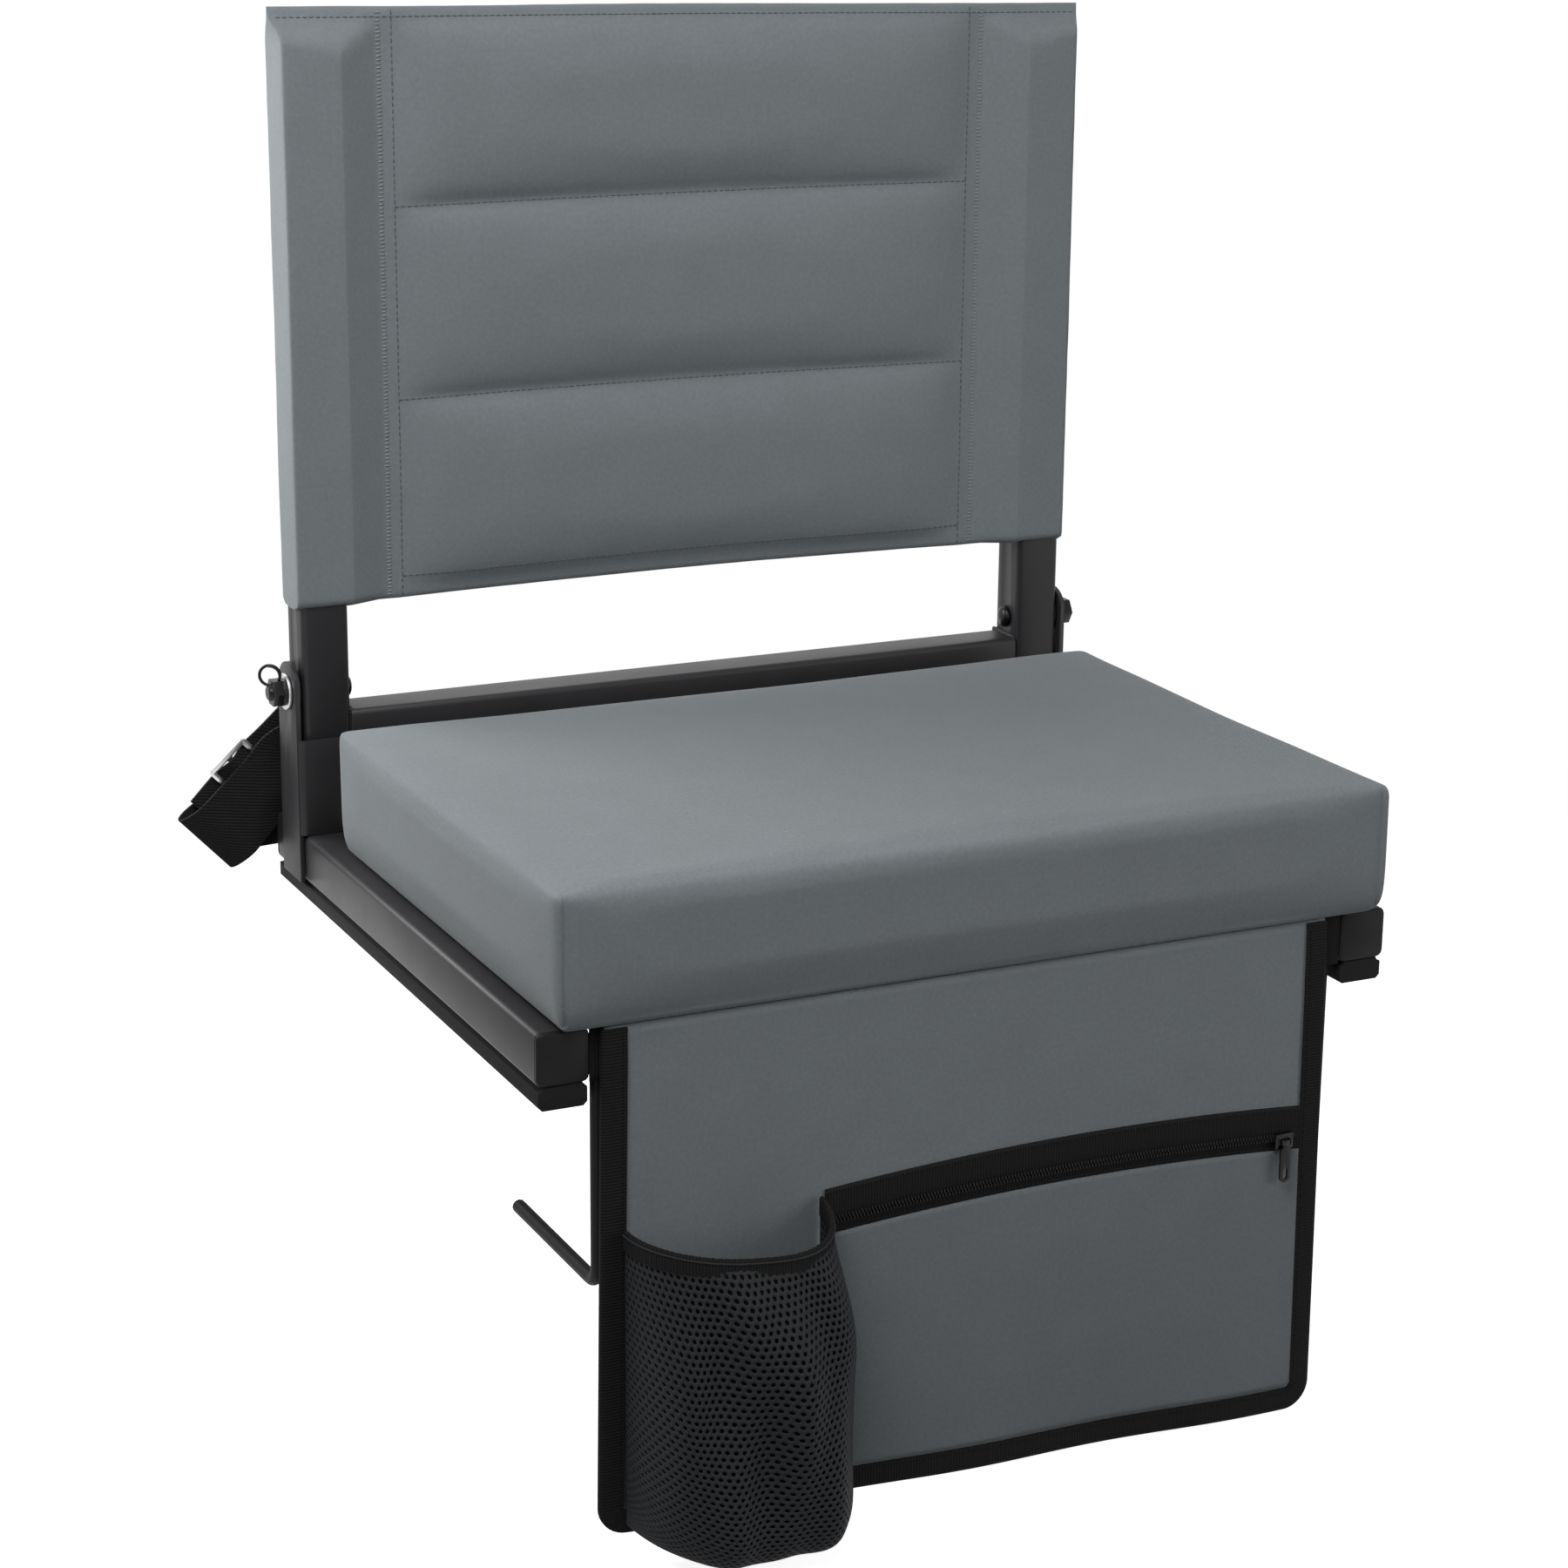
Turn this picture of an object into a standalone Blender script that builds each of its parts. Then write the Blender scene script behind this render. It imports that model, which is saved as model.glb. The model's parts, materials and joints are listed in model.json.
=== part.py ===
"""A folding stadium chair that hooks on a bench: steel frame, padded seat, sling back and pocket flap.

The origin lies on the bench, midway between the feet. +X points right seen from the front, +Y to the
rear and +Z up. Left and right in names are as seen from the front. All sizes are in metres.
"""

import math

import bmesh
import bpy
from mathutils import Matrix, Vector

MM = 0.001

# Clearances
TOUCH = 0.3 * MM
PLAY = 0.2 * MM
WELD = 0.005 * MM

# Rails, feet and end plugs
FRAME_WIDTH = 442 * MM
RAIL_LENGTH = 366 * MM
RAIL_SIDE = 25 * MM
RAIL_WALL = 1.5 * MM
TUBE_CORNER = 3 * MM
FOOT_HEIGHT = 11 * MM
FOOT_WIDTH = 23.4 * MM
FOOT_NECK_HEIGHT = 2 * MM
FOOT_NECK_INSET = 2.2 * MM
FOOT_CHAMFER = 2 * MM
FOOT_OVERRUN = 2 * MM
PLUG_CAP = 2.5 * MM
PLUG_STUB = 12 * MM
PLUG_EDGE = 1 * MM

# Cross tubes and seat board
CROSS_SIDE = 20 * MM
CROSS_WALL = 1.5 * MM
FRONT_CROSS_FROM_FRONT = 125 * MM
REAR_CROSS_INSET = 13 * MM
BOARD_THICKNESS = 5 * MM
BOARD_FRONT_INSET = 6 * MM
BOARD_REAR_INSET = 9 * MM
BOARD_CORNER = 8 * MM

# Seat cushion
CUSHION_SIDE_INSET = 6 * MM
CUSHION_REAR_GAP = 35.5 * MM
CUSHION_HEIGHT = 64 * MM
CUSHION_CROWN = 4 * MM
CUSHION_DRAW_IN = 2.5 * MM
CUSHION_EDGE = 7 * MM
CUSHION_UNDERCUT = 6 * MM
CUSHION_OVERHANG = 12 * MM

# Hinge brackets and pivots
PLATE = 2.5 * MM
BRACKET_FROM_REAR = 47.5 * MM
BRACKET_WEB_RISE = 50 * MM
BRACKET_BEND = 4 * MM
BRACKET_RELIEF = 2 * MM
PIVOT_HEIGHT = 110 * MM
PIVOT_SPACER = 1.6 * MM
PIVOT_SPACER_RADIUS = 10 * MM
BOLT_RADIUS = 4 * MM
BOLT_HEAD_RADIUS = 5.8 * MM
BOLT_HEAD_HEIGHT = 3.8 * MM
BOLT_TIP = 2 * MM
WASHER_RADIUS = 9.5 * MM
WASHER_THICKNESS = 1.6 * MM
NUT_ACROSS_FLATS = 13 * MM
NUT_HEIGHT = 6.5 * MM

# Back frame
POST_SIDE = 25 * MM
POST_WALL = 1.5 * MM
POST_ABOVE_RAIL = 6.7 * MM
POST_RISE = 312 * MM
BAR_SIDE = 25 * MM
BAR_WALL = 1.5 * MM
BAR_DROP = 22.5 * MM

# Back panel
PANEL_BOTTOM_ABOVE_PIVOT = 43 * MM
PANEL_ABOVE_POST = 25 * MM
PANEL_CLOTH = 1.5 * MM
PANEL_SLEEVE_GAP = 0.35 * MM
PANEL_HEM = 6 * MM
PANEL_HEM_THICKNESS = 3 * MM
PANEL_SLEEVE_SLOPE = 16 * MM
PANEL_SLEEVE_INNER = 3 * MM
PANEL_SLANT = 24 * MM
PANEL_SEAM = 8 * MM
PANEL_CHANNEL_PITCH = 97 * MM
PANEL_FRONT_PUFF = 8 * MM
PANEL_REAR_PUFF = 6 * MM
PANEL_SAG = 8 * MM

# Bench hooks
HOOK_RADIUS = 3.4 * MM
HOOK_BEND = 9 * MM
HOOK_DROP = 109 * MM
HOOK_REACH = 98 * MM
HOOK_LEG_SETBACK = 4 * MM
HOOK_TAIL = 6 * MM
HOOK_HEIGHT = 19.5 * MM
SLEEVE_WALL = 2.2 * MM
SLEEVE_LENGTH = 52 * MM
SLEEVE_FROM_LEG = 14 * MM
CLIP_THICKNESS = 1.2 * MM

# Front flap
FLAP_LEFT_GAP = 4.5 * MM
FLAP_RIGHT_GAP = 12.5 * MM
FLAP_FLARE = 3 * MM
FLAP_DROP = 238 * MM
FLAP_SKEW = 4 * MM
FLAP_THICKNESS = 1.6 * MM
FLAP_INSET = 7.5 * MM
FLAP_HEM_RADIUS = 1.6 * MM
FLAP_CORNER = 20 * MM
FOLD_DEPTH = 2.5 * MM
FOLD_SPACING = 150 * MM
BINDING_WIDTH = 12 * MM
BINDING_CLOTH = 0.9 * MM
BINDING_SLACK = 0.6 * MM

# Zip pocket
ZIP_BOTTLE_GAP = 2.5 * MM
ZIP_BELOW_HEM = 93 * MM
ZIP_TAPE_HEIGHT = 22 * MM
ZIP_TAPE_THICKNESS = 1 * MM
ZIP_COIL_FROM_TOP = 15 * MM
ZIP_COIL_HEIGHT = 4.6 * MM
ZIP_COIL_DEPTH = 2.2 * MM
SLIDER_LENGTH = 10 * MM
SLIDER_WALL = 1.1 * MM
SLIDER_FROM_RIGHT = 7 * MM
EAR_THICKNESS = 1 * MM
EAR_RADIUS = 1.6 * MM
EAR_REACH = 3 * MM
PIN_RADIUS = 0.6 * MM
PULLER_WIDTH = 6 * MM
PULLER_LENGTH = 21 * MM
PULLER_THICKNESS = 1.2 * MM
PULLER_SLOT_WIDTH = 2.4 * MM
PULLER_SLOT_LENGTH = 6 * MM

# Bottle pocket
BOTTLE_LEFT_INSET = 10 * MM
BOTTLE_WIDTH = 97 * MM
BOTTLE_RIM_BELOW_HEM = 100 * MM
BOTTLE_DEPTH = 46 * MM
BOTTLE_SAG = 20 * MM
BOTTLE_CLOTH = 1.2 * MM
BOTTLE_RIM_RADIUS = 2 * MM
BOTTLE_SQUARENESS = 2.6
BOTTLE_STRAIGHT = 0.35
BOTTLE_MOUTH = 0.88

# Carrying strap
STRAP_WIDTH = 39 * MM
STRAP_THICKNESS = 1.5 * MM
SLIDE_BAR = 3 * MM
SLIDE_SLOT = 8.5 * MM
SLIDE_THICKNESS = 1.6 * MM
SLIDE_FROM_FOLD = 41 * MM
STRAP_BAR_CORNER = 2 * MM
STRAP_LEAVE_OUT = 12 * MM
STRAP_LEAVE_BACK = 8 * MM
STRAP_LEAVE_RISE = 4 * MM
STRAP_BEFORE_SLIDE = 30 * MM
STRAP_FOLD_OUT = 40 * MM
STRAP_FOLD_DROP = 63 * MM
STRAP_TURN_OUT = 17 * MM
STRAP_TURN_DIP = 2 * MM
STRAP_FLAT_OUT = 38 * MM
STRAP_RUN_RISE = 11 * MM
STRAP_RUN_LIFT = 1 * MM
STRAP_RUN_START = 0.55
STRAP_DOWN = Vector((-0.73, 0, -0.684))
STRAP_ACROSS = Vector((0.684, 0, -0.73))

# Levels and lines worked out from the sizes above
RAIL_X = (FRAME_WIDTH - RAIL_SIDE) / 2
RAIL_INNER = FRAME_WIDTH / 2 - RAIL_SIDE
RAIL_BOTTOM = FOOT_HEIGHT + TOUCH
RAIL_TOP = RAIL_BOTTOM + RAIL_SIDE
RAIL_FRONT = -RAIL_LENGTH / 2
RAIL_REAR = RAIL_LENGTH / 2
CUSHION_FRONT = RAIL_FRONT - CUSHION_OVERHANG
CUSHION_BOTTOM = RAIL_TOP + TOUCH
CUSHION_WIDTH = FRAME_WIDTH - 2 * CUSHION_SIDE_INSET
CHEEK_INNER = FRAME_WIDTH / 2 + TOUCH
CHEEK_OUTER = CHEEK_INNER + PLATE
POST_OUTER = CHEEK_INNER - PIVOT_SPACER - 2 * TOUCH
POST_INNER = POST_OUTER - POST_SIDE
POST_X = POST_OUTER - POST_SIDE / 2
WEB_FRONT = RAIL_REAR - BRACKET_FROM_REAR
CUSHION_REAR = WEB_FRONT - CUSHION_REAR_GAP
CUSHION_DEPTH = CUSHION_REAR - CUSHION_FRONT
BOARD_FRONT = RAIL_FRONT + BOARD_FRONT_INSET
BOARD_REAR = CUSHION_REAR - BOARD_REAR_INSET
PIVOT_Y = WEB_FRONT + PLATE + TOUCH + POST_SIDE / 2
CHEEK_RADIUS = PIVOT_Y - WEB_FRONT
POST_BOTTOM = RAIL_TOP + POST_ABOVE_RAIL
POST_TOP = PIVOT_HEIGHT + POST_RISE
BAR_Z = PIVOT_HEIGHT - BAR_DROP
BAR_END = POST_INNER - TOUCH
PANEL_BOTTOM = PIVOT_HEIGHT + PANEL_BOTTOM_ABOVE_PIVOT
PANEL_TOP = POST_TOP + PANEL_ABOVE_POST
SLEEVE_RADIUS = HOOK_RADIUS + PLAY + SLEEVE_WALL
HOOK_X = RAIL_INNER - TOUCH - SLEEVE_RADIUS
HOOK_LEG_Y = RAIL_FRONT + HOOK_LEG_SETBACK
SLEEVE_FRONT = HOOK_LEG_Y + SLEEVE_FROM_LEG
SLEEVE_REAR = SLEEVE_FRONT + SLEEVE_LENGTH
FLAP_Y = CUSHION_FRONT + FLAP_INSET
HEM_Z = CUSHION_BOTTOM - TOUCH - FLAP_HEM_RADIUS
FLAP_LEFT = FLAP_LEFT_GAP - RAIL_INNER
FLAP_RIGHT = RAIL_INNER - FLAP_RIGHT_GAP
FLAP_WIDTH = FLAP_RIGHT - FLAP_LEFT
FLAP_MIDDLE = (FLAP_LEFT + FLAP_RIGHT) / 2
FLAP_FRONT = FLAP_Y - FLAP_THICKNESS / 2
BOTTLE_LEFT = FLAP_LEFT + BOTTLE_LEFT_INSET
BOTTLE_RIGHT = BOTTLE_LEFT + BOTTLE_WIDTH
BOTTLE_RIM = HEM_Z - BOTTLE_RIM_BELOW_HEM
ZIP_LEFT = BOTTLE_RIGHT + ZIP_BOTTLE_GAP
ZIP_TOP = HEM_Z - ZIP_BELOW_HEM
ZIP_BOTTOM = ZIP_TOP - ZIP_TAPE_HEIGHT
ZIP_RIGHT = FLAP_RIGHT - BINDING_WIDTH - TOUCH
COIL_Z = ZIP_TOP - ZIP_COIL_FROM_TOP
TAPE_FRONT = FLAP_FRONT - TOUCH - ZIP_TAPE_THICKNESS
COIL_FRONT = TAPE_FRONT - TOUCH - ZIP_COIL_DEPTH
SLIDER_X = ZIP_RIGHT - SLIDER_FROM_RIGHT
SLIDER_FRONT = COIL_FRONT - TOUCH - SLIDER_WALL
PIN_Y = SLIDER_FRONT - EAR_REACH + EAR_RADIUS

# Collections, filled by the functions below
PARTS = bpy.data.collections.new("stadium_chair")
CUTTERS = bpy.data.collections.new("stadium_chair_cutters")


def clear_scene():
    """Empty the file, then add the two collections that the model fills."""
    for old in list(bpy.data.objects):
        bpy.data.objects.remove(old, do_unlink=True)
    bpy.context.scene.collection.children.link(PARTS)
    bpy.context.scene.collection.children.link(CUTTERS)


def make_material(name, colour, roughness, metallic=0.0):
    """A plain Principled surface with the colour given as linear red, green and blue."""
    material = bpy.data.materials.new(name)
    material.use_nodes = True
    shader = material.node_tree.nodes["Principled BSDF"]
    shader.inputs["Base Color"].default_value = (*colour, 1.0)
    shader.inputs["Roughness"].default_value = roughness
    shader.inputs["Metallic"].default_value = metallic
    material.diffuse_color = (*colour, 1.0)
    return material


def make_pivot(name, location):
    """An empty on a joint's axis, the parent of the pieces that turn or slide there."""
    empty = bpy.data.objects.new(name, None)
    empty.empty_display_size = 20 * MM
    empty.location = location
    PARTS.objects.link(empty)
    return empty


def finish(piece, material, pivot=None):
    """Put a piece in the model's collection with its material and, if it moves, under its pivot."""
    PARTS.objects.link(piece)
    piece.data.materials.append(material)
    if pivot:
        piece.parent = pivot
        piece.matrix_parent_inverse = Matrix.Translation(pivot.location).inverted()
    if piece.type == 'MESH':
        piece.data.shade_smooth()
        piece.data.set_sharp_from_angle(angle=math.radians(40))
    return piece


def rounded_rectangle(width, height, radius, steps=3):
    """The points of a rectangle about the origin with its corners rounded."""
    points = []
    for quarter in range(4):
        side_x = 1 if quarter in (0, 3) else -1
        side_y = 1 if quarter in (0, 1) else -1
        centre_x = side_x * (width / 2 - radius)
        centre_y = side_y * (height / 2 - radius)
        for step in range(steps + 1):
            angle = math.pi / 2 * (quarter + step / steps)
            points.append((centre_x + radius * math.cos(angle), centre_y + radius * math.sin(angle)))
    return points


def circle(radius, sides=24):
    """The points of a circle about the origin."""
    turns = [2 * math.pi * side / sides for side in range(sides)]
    return [(radius * math.cos(turn), radius * math.sin(turn)) for turn in turns]


def shifted(points, right, up):
    """An outline moved in its own plane."""
    return [(x + right, y + up) for x, y in points]


def plane_matrix(axis, centre):
    """A frame whose own Z lies along a world axis: X (YZ outline), Y (XZ outline) or Z (XY outline)."""
    columns = {
        "X": ((0, 1, 0), (0, 0, 1), (1, 0, 0)),
        "Y": ((1, 0, 0), (0, 0, 1), (0, -1, 0)),
        "Z": ((1, 0, 0), (0, 1, 0), (0, 0, 1)),
    }[axis]
    return Matrix.Translation(centre) @ Matrix(columns).transposed().to_4x4()


def mesh_from_curve(curve_object):
    """Replace a curve object with the welded mesh that it makes."""
    bpy.context.scene.collection.objects.link(curve_object)
    depsgraph = bpy.context.evaluated_depsgraph_get()
    mesh = bpy.data.meshes.new_from_object(curve_object.evaluated_get(depsgraph))
    body = bmesh.new()
    body.from_mesh(mesh)
    bmesh.ops.remove_doubles(body, verts=body.verts, dist=WELD)
    body.to_mesh(mesh)
    body.free()
    name = curve_object.name
    matrix = curve_object.matrix_world.copy()
    bpy.data.objects.remove(curve_object, do_unlink=True)
    mesh.name = name
    piece = bpy.data.objects.new(name, mesh)
    piece.matrix_world = matrix
    return piece


def extruded(name, outlines, length, axis, centre):
    """A solid of constant section: the first outline is the outside, the others are holes."""
    curve = bpy.data.curves.new(name, 'CURVE')
    curve.dimensions = '2D'
    curve.fill_mode = 'BOTH'
    curve.extrude = length / 2
    for outline in outlines:
        spline = curve.splines.new('POLY')
        spline.points.add(len(outline) - 1)
        for point, (x, y) in zip(spline.points, outline):
            point.co = (x, y, 0, 1)
        spline.use_cyclic_u = True
    curve_object = bpy.data.objects.new(name, curve)
    curve_object.matrix_world = plane_matrix(axis, centre)
    return mesh_from_curve(curve_object)


def rod(name, path, radius, resolution=3, end_radii=(1.0,)):
    """A round rod along a path; end_radii thin the last points so that the free end is rounded."""
    curve = bpy.data.curves.new(name, 'CURVE')
    curve.dimensions = '3D'
    curve.bevel_depth = radius
    curve.bevel_resolution = resolution
    curve.use_fill_caps = True
    spline = curve.splines.new('POLY')
    spline.points.add(len(path) - 1)
    for point, place in zip(spline.points, path):
        point.co = (*place, 1)
    for point, share in zip(spline.points[-len(end_radii):], end_radii):
        point.radius = share
    return mesh_from_curve(bpy.data.objects.new(name, curve))


def square_tube(name, side, wall, length, axis, centre):
    """A square steel tube with rounded corners, open at both ends."""
    bore = side - 2 * wall
    outside = rounded_rectangle(side, side, TUBE_CORNER)
    inside = rounded_rectangle(bore, bore, max(TUBE_CORNER - wall, 0.2 * wall))
    return extruded(name, [outside, inside], length, axis, centre)


def ring(name, outer, inner, length, axis, centre):
    """A washer, spacer or sleeve."""
    return extruded(name, [circle(outer), circle(inner)], length, axis, centre)


def loft(name, rings):
    """A closed solid through rings of equally many points, capped at both ends."""
    body = bmesh.new()
    loops = [[body.verts.new(point) for point in points] for points in rings]
    count = len(loops[0])
    for first, second in zip(loops, loops[1:]):
        for index in range(count):
            after = (index + 1) % count
            body.faces.new((first[index], first[after], second[after], second[index]))
    body.faces.new(loops[0])
    body.faces.new(loops[-1])
    bmesh.ops.recalc_face_normals(body, faces=body.faces)
    mesh = bpy.data.meshes.new(name)
    body.to_mesh(mesh)
    body.free()
    return bpy.data.objects.new(name, mesh)


def sheet_grid(name, columns, rows, place):
    """An open surface: a unit grid whose points place(across, down) puts in space."""
    body = bmesh.new()
    bmesh.ops.create_grid(body, x_segments=columns, y_segments=rows, size=0.5)
    for vertex in body.verts:
        vertex.co = place(vertex.co.x + 0.5, 0.5 - vertex.co.y)
    mesh = bpy.data.meshes.new(name)
    body.to_mesh(mesh)
    body.free()
    return bpy.data.objects.new(name, mesh)


def thicken(piece, thickness, offset=0.0):
    """Give an open surface its cloth thickness."""
    wall = piece.modifiers.new("cloth", 'SOLIDIFY')
    wall.thickness = thickness
    wall.offset = offset
    wall.use_even_offset = False
    return piece


def combine(piece, tool, operation, solver='EXACT'):
    """Cut a tool from a piece, or join it, with a live Boolean."""
    CUTTERS.objects.link(tool)
    tool.hide_render = True
    tool.display_type = 'WIRE'
    change = piece.modifiers.new(operation.lower(), 'BOOLEAN')
    change.operation = operation
    change.solver = solver
    change.object = tool
    return piece


def filleted(corners, radius, steps=5):
    """A path through corners with each inner corner rounded by an arc."""
    corners = [Vector(corner) for corner in corners]
    path = [corners[0]]
    for before, corner, after in zip(corners, corners[1:], corners[2:]):
        back = (before - corner).normalized()
        ahead = (after - corner).normalized()
        half = back.angle(ahead) / 2
        centre = corner + (back + ahead).normalized() * (radius / math.sin(half))
        start = corner + back * (radius / math.tan(half))
        end = corner + ahead * (radius / math.tan(half))
        first_spoke = (start - centre).normalized()
        last_spoke = (end - centre).normalized()
        for step in range(steps + 1):
            path.append(centre + first_spoke.slerp(last_spoke, step / steps) * radius)
    path.append(corners[-1])
    return path


def end_plug(name, side, wall, axis, mouth, outward):
    """A moulded plug pressed in a square tube: a stub inside the bore and a cap with eased edges."""
    stub = side - 2 * wall - 2 * TOUCH
    stub_corner = max(TUBE_CORNER - wall, 0.2 * wall)
    cap_edge = side - 2 * PLUG_EDGE
    start = TOUCH * outward
    sections = [
        (stub, stub_corner, start - PLUG_STUB * outward),
        (stub, stub_corner, start),
        (side, TUBE_CORNER, start),
        (side, TUBE_CORNER, start + (PLUG_CAP - PLUG_EDGE) * outward),
        (cap_edge, TUBE_CORNER, start + PLUG_CAP * outward),
    ]
    frame = plane_matrix(axis, mouth)
    along = Vector([1.0 if letter == axis else 0.0 for letter in "XYZ"])
    rings = []
    for width, corner, reach in sections:
        outline = rounded_rectangle(width, width, corner)
        rings.append([frame @ Vector((x, y, 0)) + along * reach for x, y in outline])
    return loft(name, rings)


def build_rails(steel, plastic, rubber):
    """Two square rails, each with end plugs and a rubber foot strip."""
    half = FOOT_WIDTH / 2
    neck = half - FOOT_NECK_INSET
    foot_outline = [
        (-half + FOOT_CHAMFER, 0), (half - FOOT_CHAMFER, 0), (half, FOOT_CHAMFER),
        (half, FOOT_HEIGHT - FOOT_NECK_HEIGHT), (neck, FOOT_HEIGHT - FOOT_NECK_HEIGHT),
        (neck, FOOT_HEIGHT), (-neck, FOOT_HEIGHT), (-neck, FOOT_HEIGHT - FOOT_NECK_HEIGHT),
        (-half, FOOT_HEIGHT - FOOT_NECK_HEIGHT), (-half, FOOT_CHAMFER),
    ]
    rail_z = RAIL_BOTTOM + RAIL_SIDE / 2
    for side, sign in (("left", -1), ("right", 1)):
        x = sign * RAIL_X
        finish(square_tube(side + "_rail", RAIL_SIDE, RAIL_WALL, RAIL_LENGTH, "Y", (x, 0, rail_z)), steel)
        for end, outward in (("front", -1), ("rear", 1)):
            mouth = Vector((x, outward * RAIL_LENGTH / 2, rail_z))
            finish(end_plug(f"{side}_{end}_plug", RAIL_SIDE, RAIL_WALL, "Y", mouth, outward), plastic)
        foot_length = RAIL_LENGTH + 2 * FOOT_OVERRUN
        finish(extruded(side + "_foot", [foot_outline], foot_length, "Y", (x, 0, 0)), rubber)


def build_seat_base(steel, board_paint):
    """Cross tubes between the rails and the board that lies on them, level with the rails."""
    length = 2 * (RAIL_INNER - TOUCH)
    level = RAIL_TOP - BOARD_THICKNESS - TOUCH - CROSS_SIDE / 2
    rows = (("front_cross_tube", RAIL_FRONT + FRONT_CROSS_FROM_FRONT),
            ("rear_cross_tube", BOARD_REAR - REAR_CROSS_INSET))
    for name, y in rows:
        finish(square_tube(name, CROSS_SIDE, CROSS_WALL, length, "X", (0, y, level)), steel)
    outline = rounded_rectangle(length, BOARD_REAR - BOARD_FRONT, BOARD_CORNER)
    centre = (0, (BOARD_FRONT + BOARD_REAR) / 2, RAIL_TOP - BOARD_THICKNESS / 2)
    finish(extruded("seat_board", [outline], BOARD_THICKNESS, "Z", centre), board_paint)


def build_cushion(cloth):
    """The covered foam block: crowned top, sides drawn in between the corners, tucked-in lower edge."""
    def stations(length, edge, inner):
        half = length / 2
        middle = [half * share for share in inner]
        return [-half, -half + edge] + middle + [half - edge, half]

    columns = stations(CUSHION_WIDTH, CUSHION_EDGE, (-0.6, -0.2, 0.2, 0.6))
    rows = stations(CUSHION_DEPTH, CUSHION_EDGE, (-0.5, 0.0, 0.5))
    levels = [0, CUSHION_EDGE, CUSHION_HEIGHT / 2, CUSHION_HEIGHT - CUSHION_EDGE, CUSHION_HEIGHT]
    middle_y = (CUSHION_FRONT + CUSHION_REAR) / 2
    top = len(levels) - 1

    def place(x, y, level):
        across = 2 * x / CUSHION_WIDTH
        along = 2 * y / CUSHION_DEPTH
        height = levels[level]
        draw = CUSHION_DRAW_IN * math.sin(math.pi * height / CUSHION_HEIGHT)
        tuck_x = CUSHION_UNDERCUT if level == 0 and abs(across) == 1 else 0
        tuck_y = CUSHION_UNDERCUT if level == 0 and abs(along) == 1 else 0
        new_x = x - across * (draw * (1 - along ** 2) + tuck_x)
        new_y = y - along * (draw * (1 - across ** 2) + tuck_y)
        lift = CUSHION_CROWN * (1 - across ** 2) * (1 - along ** 2) if level == top else 0
        return (new_x, middle_y + new_y, CUSHION_BOTTOM + height + lift)

    body = bmesh.new()
    grid = {}
    for level in range(len(levels)):
        for i, x in enumerate(columns):
            for j, y in enumerate(rows):
                on_side = i in (0, len(columns) - 1) or j in (0, len(rows) - 1)
                if on_side or level in (0, top):
                    grid[i, j, level] = body.verts.new(place(x, y, level))

    def patch(corners):
        body.faces.new([grid[corner] for corner in corners])

    last_i = len(columns) - 1
    last_j = len(rows) - 1
    for level in (0, top):
        for i in range(last_i):
            for j in range(last_j):
                patch([(i, j, level), (i + 1, j, level), (i + 1, j + 1, level), (i, j + 1, level)])
    for level in range(top):
        for j in (0, last_j):
            for i in range(last_i):
                patch([(i, j, level), (i + 1, j, level), (i + 1, j, level + 1), (i, j, level + 1)])
        for i in (0, last_i):
            for j in range(last_j):
                patch([(i, j, level), (i, j + 1, level), (i, j + 1, level + 1), (i, j, level + 1)])
    bmesh.ops.recalc_face_normals(body, faces=body.faces)
    mesh = bpy.data.meshes.new("seat_cushion")
    body.to_mesh(mesh)
    body.free()
    cushion = finish(bpy.data.objects.new("seat_cushion", mesh), cloth)
    smooth = cushion.modifiers.new("soft", 'SUBSURF')
    smooth.levels = 1
    smooth.render_levels = 1


def build_brackets(steel):
    """Bent-plate hinge brackets: an outer cheek with a round top and a front web that stops the back."""
    cheek_front = -CHEEK_RADIUS + BRACKET_RELIEF
    drop = PIVOT_HEIGHT - RAIL_BOTTOM
    cheek = [(cheek_front, -drop), (CHEEK_RADIUS, -drop)]
    steps = 14
    for step in range(steps + 1):
        angle = math.pi * step / steps
        across = max(cheek_front, CHEEK_RADIUS * math.cos(angle))
        cheek.append((across, CHEEK_RADIUS * math.sin(angle)))
    web_reach = CHEEK_OUTER - POST_INNER
    bend_inside = BRACKET_BEND - PLATE
    angle_outline = [(0, CHEEK_RADIUS)]
    quarter = 4
    for step in range(quarter + 1):
        turn = math.pi / 2 * step / quarter
        angle_outline.append((BRACKET_BEND * (1 - math.cos(turn)), BRACKET_BEND * (1 - math.sin(turn))))
    angle_outline += [(web_reach, 0), (web_reach, PLATE)]
    for step in range(quarter + 1):
        turn = math.pi / 2 * (1 - step / quarter)
        x = BRACKET_BEND - bend_inside * math.cos(turn)
        y = BRACKET_BEND - bend_inside * math.sin(turn)
        angle_outline.append((x, y))
    angle_outline.append((PLATE, CHEEK_RADIUS))
    web_bottom = RAIL_TOP + TOUCH
    for side, sign in (("left", -1), ("right", 1)):
        centre = (sign * (CHEEK_INNER + PLATE / 2), PIVOT_Y, PIVOT_HEIGHT)
        bracket = extruded(side + "_bracket", [cheek, circle(BOLT_RADIUS + PLAY)], PLATE, "X", centre)
        outline = [(-sign * x, y) for x, y in angle_outline]
        corner = (sign * CHEEK_OUTER, WEB_FRONT, web_bottom + BRACKET_WEB_RISE / 2)
        web = extruded(side + "_web", [outline], BRACKET_WEB_RISE, "Z", corner)
        finish(combine(bracket, web, 'UNION'), steel)


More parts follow.
